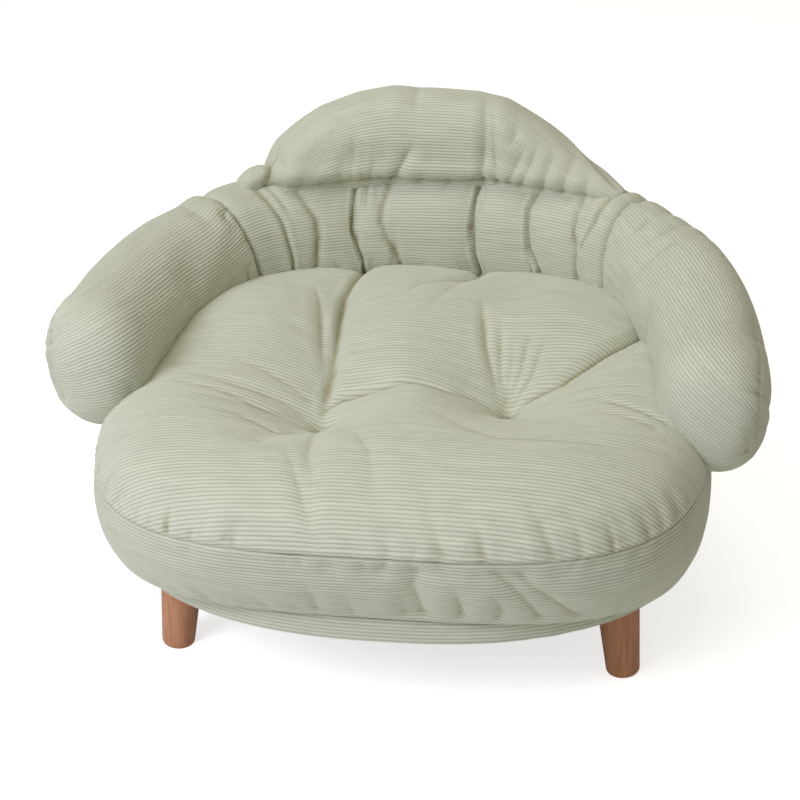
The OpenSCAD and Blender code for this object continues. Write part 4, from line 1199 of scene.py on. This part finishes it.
# dust cloth, stapled under the board
dust = {"inset": 34.3, "level": 104.6, "thick": 0.8, "sag": -0.9}
dustW, dustD, dustPower = base["halfW"] - dust["inset"], base["halfD"] - dust["inset"], base["square"]
dustCloth = flatPanel("dustCloth", dustW, dustD, dustPower, dust["level"], dust["thick"],
                      {"node": "dust_cloth", "body": "base", "slot": "lining", "rows": 160, "cols": 121,
                       "puff": dust["sag"], "facing": -1, "relief": 0.0})


# small repeated parts
def turnedTo(along, out):
    x = Vector(along).normalized()
    z = (Vector(out) - x * Vector(out).dot(x)).normalized()
    return Matrix((x, z.cross(x), z)).transposed().to_euler("XYZ")


def repeatTree(name, shape, mat):
    # puts one shape on every point, turned as the point says, each a little loose
    tree = bpy.data.node_groups.new(name, "GeometryNodeTree")
    sockets = {}
    for label, kind, way in (("Geometry", "Geometry", "INPUT"), ("Size", "Float", "INPUT"),
                             ("Looseness", "Float", "INPUT"), ("Seed", "Int", "INPUT"),
                             ("Geometry", "Geometry", "OUTPUT")):
        sockets[label, way] = tree.interface.new_socket(label, in_out=way, socket_type="NodeSocket" + kind)
    start, end = tree.nodes.new("NodeGroupInput"), tree.nodes.new("NodeGroupOutput")
    part = add(tree, "GeometryNodeObjectInfo", {"Object": shape})
    turn = add(tree, "GeometryNodeInputNamedAttribute", {"Name": "turn"}, data_type="FLOAT_VECTOR")
    loose = add(tree, "FunctionNodeRandomValue", {0: (-1, -1, -1), 1: (1, 1, 1), "Seed": start.outputs["Seed"]},
                data_type="FLOAT_VECTOR")
    some = add(tree, "ShaderNodeVectorMath", {0: loose.outputs[0], "Scale": start.outputs["Looseness"]},
               operation="SCALE")
    both = add(tree, "ShaderNodeVectorMath", {0: turn.outputs[0], 1: some.outputs[0]}, operation="ADD")
    way = add(tree, "FunctionNodeEulerToRotation", {0: both.outputs[0]})
    many = add(tree, "GeometryNodeInstanceOnPoints", {
        "Points": start.outputs["Geometry"], "Instance": part.outputs["Geometry"], "Rotation": way.outputs[0],
        "Scale": start.outputs["Size"]})
    real = add(tree, "GeometryNodeRealizeInstances", {0: many.outputs[0]})
    done = add(tree, "GeometryNodeSetMaterial", {0: real.outputs[0], "Material": mat})
    tree.links.new(done.outputs[0], end.inputs[0])
    return tree, sockets


def tube(name, sections, sides):
    # closed small shape: sections of place along X, middle in Y and Z, half width and half height
    turn = np.arange(sides) * 2 * math.pi / sides
    rings = np.array([[(x, y + w * math.cos(t), z + h * math.sin(t)) for t in turn] for x, y, z, w, h in sections])
    return makeMesh(name, rings, False, True, 1, 1)


def repeatPiece(name, spots, shape, slot, body, size=1.0, looseness=0.0, seed=1):
    points = bpy.data.meshes.new(name + "Points")
    points.from_pydata([tuple(Vector(place) * toMetres) for place, _, _ in spots], [], [])
    turns = np.array([turnedTo(along, out)[:] for _, along, out in spots])
    points.attributes.new("turn", "FLOAT_VECTOR", "POINT").data.foreach_set("vector", turns.ravel())
    source = newObject(name + "Points", points)
    tree, sockets = repeatTree(name + "Tree", shape, mats[slot])
    repeated = source.modifiers.new("repeat", "NODES")
    repeated.node_group = tree
    for label, value in (("Size", size), ("Looseness", looseness), ("Seed", seed)):
        repeated[sockets[label, "INPUT"].identifier] = value
    mesh = bpy.data.meshes.new_from_object(source.evaluated_get(bpy.context.evaluated_depsgraph_get()))
    mesh.name = name
    finishPiece(newObject(name, mesh), body, slot)
    bpy.data.objects.remove(source)
    bpy.data.objects.remove(shape)
    print(f"{name}: {len(spots)} repeats")


staple = {"length": 10.0, "wire": 0.45, "inset": 27.0, "gap": 27.0, "start": 8.0, "plateX": 219, "plateY": 108,
          "clear": 38}
hemRing = np.linspace(0, 2 * math.pi, 4001)[:-1]
hemR = planRadius(base["halfW"] - staple["inset"], base["halfD"] - staple["inset"], base["square"], hemRing)
hemLine = np.stack([hemR * np.cos(hemRing), hemR * np.sin(hemRing) + seat["midY"]], -1)
hemRun = runAlong(hemLine)
stapleSpots = []
for at in np.arange(staple["start"], hemRun[-1] - staple["start"], staple["gap"]):
    k = int(np.searchsorted(hemRun, at))
    place, step = hemLine[k], hemLine[(k + 1) % 4000] - hemLine[k]
    aside = max(abs(abs(place[0]) - staple["plateX"]), abs(abs(place[1] - seat["midY"]) - staple["plateY"]))
    if aside > staple["clear"]:
        stapleSpots.append(((*place, base["hemLow"] - 0.1), (*step, 0.0), (0, 0, -1)))
half, wire = staple["length"] / 2, staple["wire"]
stapleShape = tube("stapleShape", [(-half, 0, -0.6, wire * 0.6, wire * 0.6), (-half, 0, 0.0, wire, wire * 0.9),
                                   (-half + 0.8, 0, 0.25, wire, wire), (half - 0.8, 0, 0.25, wire, wire),
                                   (half, 0, 0.0, wire, wire * 0.9), (half, 0, -0.6, wire * 0.6, wire * 0.6)], 8)
repeatPiece("hemStaples", stapleSpots, stapleShape, "steel", "base", looseness=0.05, seed=3)

# zip in the rear side panel
zipLook = {"half": 75.0, "wide": 13.0, "thick": 1.0, "toothGap": 2.0, "toothEnd": 6.0, "toothIn": 0.55}


def fromZip(local):
    return np.asarray(local, float) @ zipMatrix[:3, :3].T + zipMatrix[:3, 3]


tapeZ = np.linspace(-zipLook["wide"], zipLook["wide"], 53)
tapeX = np.linspace(-zipLook["half"], zipLook["half"], 121)
front = zipLook["thick"] - 0.12 + 0.3 * bell(np.abs(tapeZ) - 3.2, 0.7) - 0.25 * (np.abs(tapeZ) > 12.4)
wave = 0.12 * np.sin(tapeX / 6.1)[None, :] * ease((np.abs(tapeZ) - 4) / 8)[:, None]
outside = np.stack(np.broadcast_arrays(tapeX[None, :], front[:, None] + wave - 0.12, tapeZ[:, None]), -1)
inside = np.stack(np.broadcast_arrays(tapeX[None, :], 0.02 + 0 * tapeZ[:, None], tapeZ[::-1, None]), -1)
zipTape = makeMesh("zipTape", fromZip(np.concatenate([outside, inside])), True, False, 1, 1)
finishPiece(zipTape, "bed", "zip_tape", ("zip_tape",))
toothCount = int((2 * zipLook["half"] - 2 * zipLook["toothEnd"]) / zipLook["toothGap"]) + 1
teethSpots = []
for k in range(toothCount):
    side = 1 if k % 2 == 0 else -1
    x = -zipLook["half"] + zipLook["toothEnd"] + zipLook["toothIn"] + k * zipLook["toothGap"]
    teethSpots.append((fromZip((x, zipLook["thick"], 0.6 * side)), zipMatrix[:3, 2] * side, zipMatrix[:3, 1]))
toothShape = tube("toothShape", [(-1.85, 0, 0.6, 0.36, 0.5), (-1.7, 0, 0.62, 0.55, 0.68), (-0.7, 0, 0.64, 0.52, 0.68),
                                 (-0.2, 0, 0.64, 0.34, 0.64), (0.6, 0, 0.64, 0.36, 0.64), (1.2, 0, 0.64, 0.55, 0.68),
                                 (1.85, 0, 0.6, 0.4, 0.5)], 8)
repeatPiece("zipTeeth", teethSpots, toothShape, "steel", "bed", seed=5)

# stitches, laid on the finished covers
stitch = {"length": 2.4, "gap": 3.4, "lift": 0.15}
stitchSpots = []


def stitchRow(cover, line):
    # stitches along a line of places, each set on the nearest point of a cover
    flat, out = (each.reshape(-1, 3) for each in covers[cover])
    line = np.asarray(line, float)
    run = runAlong(line)
    count = int(run[-1] / stitch["gap"])
    marks = np.stack([np.interp((np.arange(count) + 0.5) * stitch["gap"], run, line[:, k]) for k in range(3)], -1)
    for k, mark in enumerate(marks):
        near = np.argmin(((flat - mark) ** 2).sum(1))
        face = out[near]
        place = mark + face * np.dot(flat[near] - mark, face) + face * stitch["lift"]
        stitchSpots.append((place, marks[min(k + 1, count - 1)] - marks[max(k - 1, 0)], face))


for rise in (-15.2, 15.2):
    stitchRow("seatGusset", [fromZip((x, 0.5, rise)) for x in np.linspace(-78, 78, 40)])
for end in (-79.5, 79.5):
    stitchRow("seatGusset", [fromZip((end, 0.5, rise)) for rise in np.linspace(-14, 14, 12)])
half = stitch["length"] / 2
stitchShape = tube("stitchShape", [
    (-half, 0, -0.3, 0.16, 0.14), (-half * 0.8, 0, 0.02, 0.36, 0.3), (0, 0, 0.16, 0.42, 0.36),
    (half * 0.8, 0, 0.02, 0.36, 0.3), (half, 0, -0.3, 0.16, 0.14)], 6)
repeatPiece("bedStitches", stitchSpots, stitchShape, "thread", "bed", looseness=0.06, seed=7)
print("small parts made")

# camera, floor and light
view = {"azimuth": 8.2, "elevation": 27.6, "distance": 1838.2, "tilt": -1.1, "target": (-8.7, -25.15, 234.3),
        "lens": 81.0, "sensor": 36.0}
camera = newObject("photoCamera", bpy.data.cameras.new("photoCamera"))
bpy.context.scene.camera = camera
az, el, tilt = (math.radians(view[k]) for k in ("azimuth", "elevation", "tilt"))
back = Vector((math.sin(az) * math.cos(el), -math.cos(az) * math.cos(el), math.sin(el)))
right = (-back).cross(Vector((0, 0, 1))).normalized()
up = right.cross(-back)
turned = Matrix((right * math.cos(tilt) + up * math.sin(tilt), up * math.cos(tilt) - right * math.sin(tilt),
                 back)).transposed().to_4x4()
turned.translation = (Vector(view["target"]) + back * view["distance"]) * toMetres
camera.matrix_world = turned
camera.data.lens, camera.data.sensor_width = view["lens"], view["sensor"]

lights = {"world": 0.245, "worldTone": (1, 0.94, 0.76, 1), "floorShown": 0.7, "floorHalf": 6, "target": (0, 0, 0.2),
          "key": {"place": (-1.3, -1.7, 1.9), "size": 1.2, "power": 38.5, "tone": (0.95, 0.995, 1.09)},
          "top": {"place": (0.0, -0.2, 2.4), "size": 1.6, "power": 12.0, "tone": (1, 0.97, 0.8)}}
world = bpy.context.scene.world or bpy.data.worlds.new("studio")
bpy.context.scene.world = world
world.use_nodes = True
tree = world.node_tree
tree.nodes.clear()
seen = add(tree, "ShaderNodeLightPath")
shown = maths(tree, "MAXIMUM", maths(tree, "MAXIMUM", seen.outputs["Is Camera Ray"], seen.outputs["Is Glossy Ray"]),
              seen.outputs["Is Transmission Ray"])
soft = add(tree, "ShaderNodeBackground", {"Color": lights["worldTone"], "Strength": lights["world"]})
plain = add(tree, "ShaderNodeBackground", {"Color": (1, 1, 1, 1), "Strength": 1.0})
both = add(tree, "ShaderNodeMixShader", {0: shown, 1: soft.outputs[0], 2: plain.outputs[0]})
add(tree, "ShaderNodeOutputWorld", {0: both.outputs[0]})

floorMesh = bpy.data.meshes.new("studioFloor")
half = lights["floorHalf"]
floorMesh.from_pydata([(-half, -half, 0), (half, -half, 0), (half, half, 0), (-half, half, 0)], [], [(0, 1, 2, 3)])
floor = newObject("studioFloor", floorMesh)
floorMat, tree, skin = material("studioFloor")
seen = add(tree, "ShaderNodeLightPath").outputs["Is Camera Ray"]
feed(tree, skin, {"Base Color": (0.93, 0.93, 0.93, 1), "Roughness": 0.9, "Specular IOR Level": 0.0,
                  "Emission Strength": maths(tree, "MULTIPLY", seen, lights["floorShown"]),
                  "Emission Color": (1, 1, 1, 1)})
floor.data.materials.append(floorMat)

for name in ("key", "top"):
    each = lights[name]
    lamp = newObject(name + "Light", bpy.data.lights.new(name + "Light", "AREA"))
    lamp.location = each["place"]
    lamp.rotation_euler = (Vector(lights["target"]) - lamp.location).to_track_quat("-Z", "Y").to_euler()
    lamp.data.size, lamp.data.energy, lamp.data.color = each["size"], each["power"], each["tone"]

bpy.context.scene.view_settings.view_transform = "Standard"
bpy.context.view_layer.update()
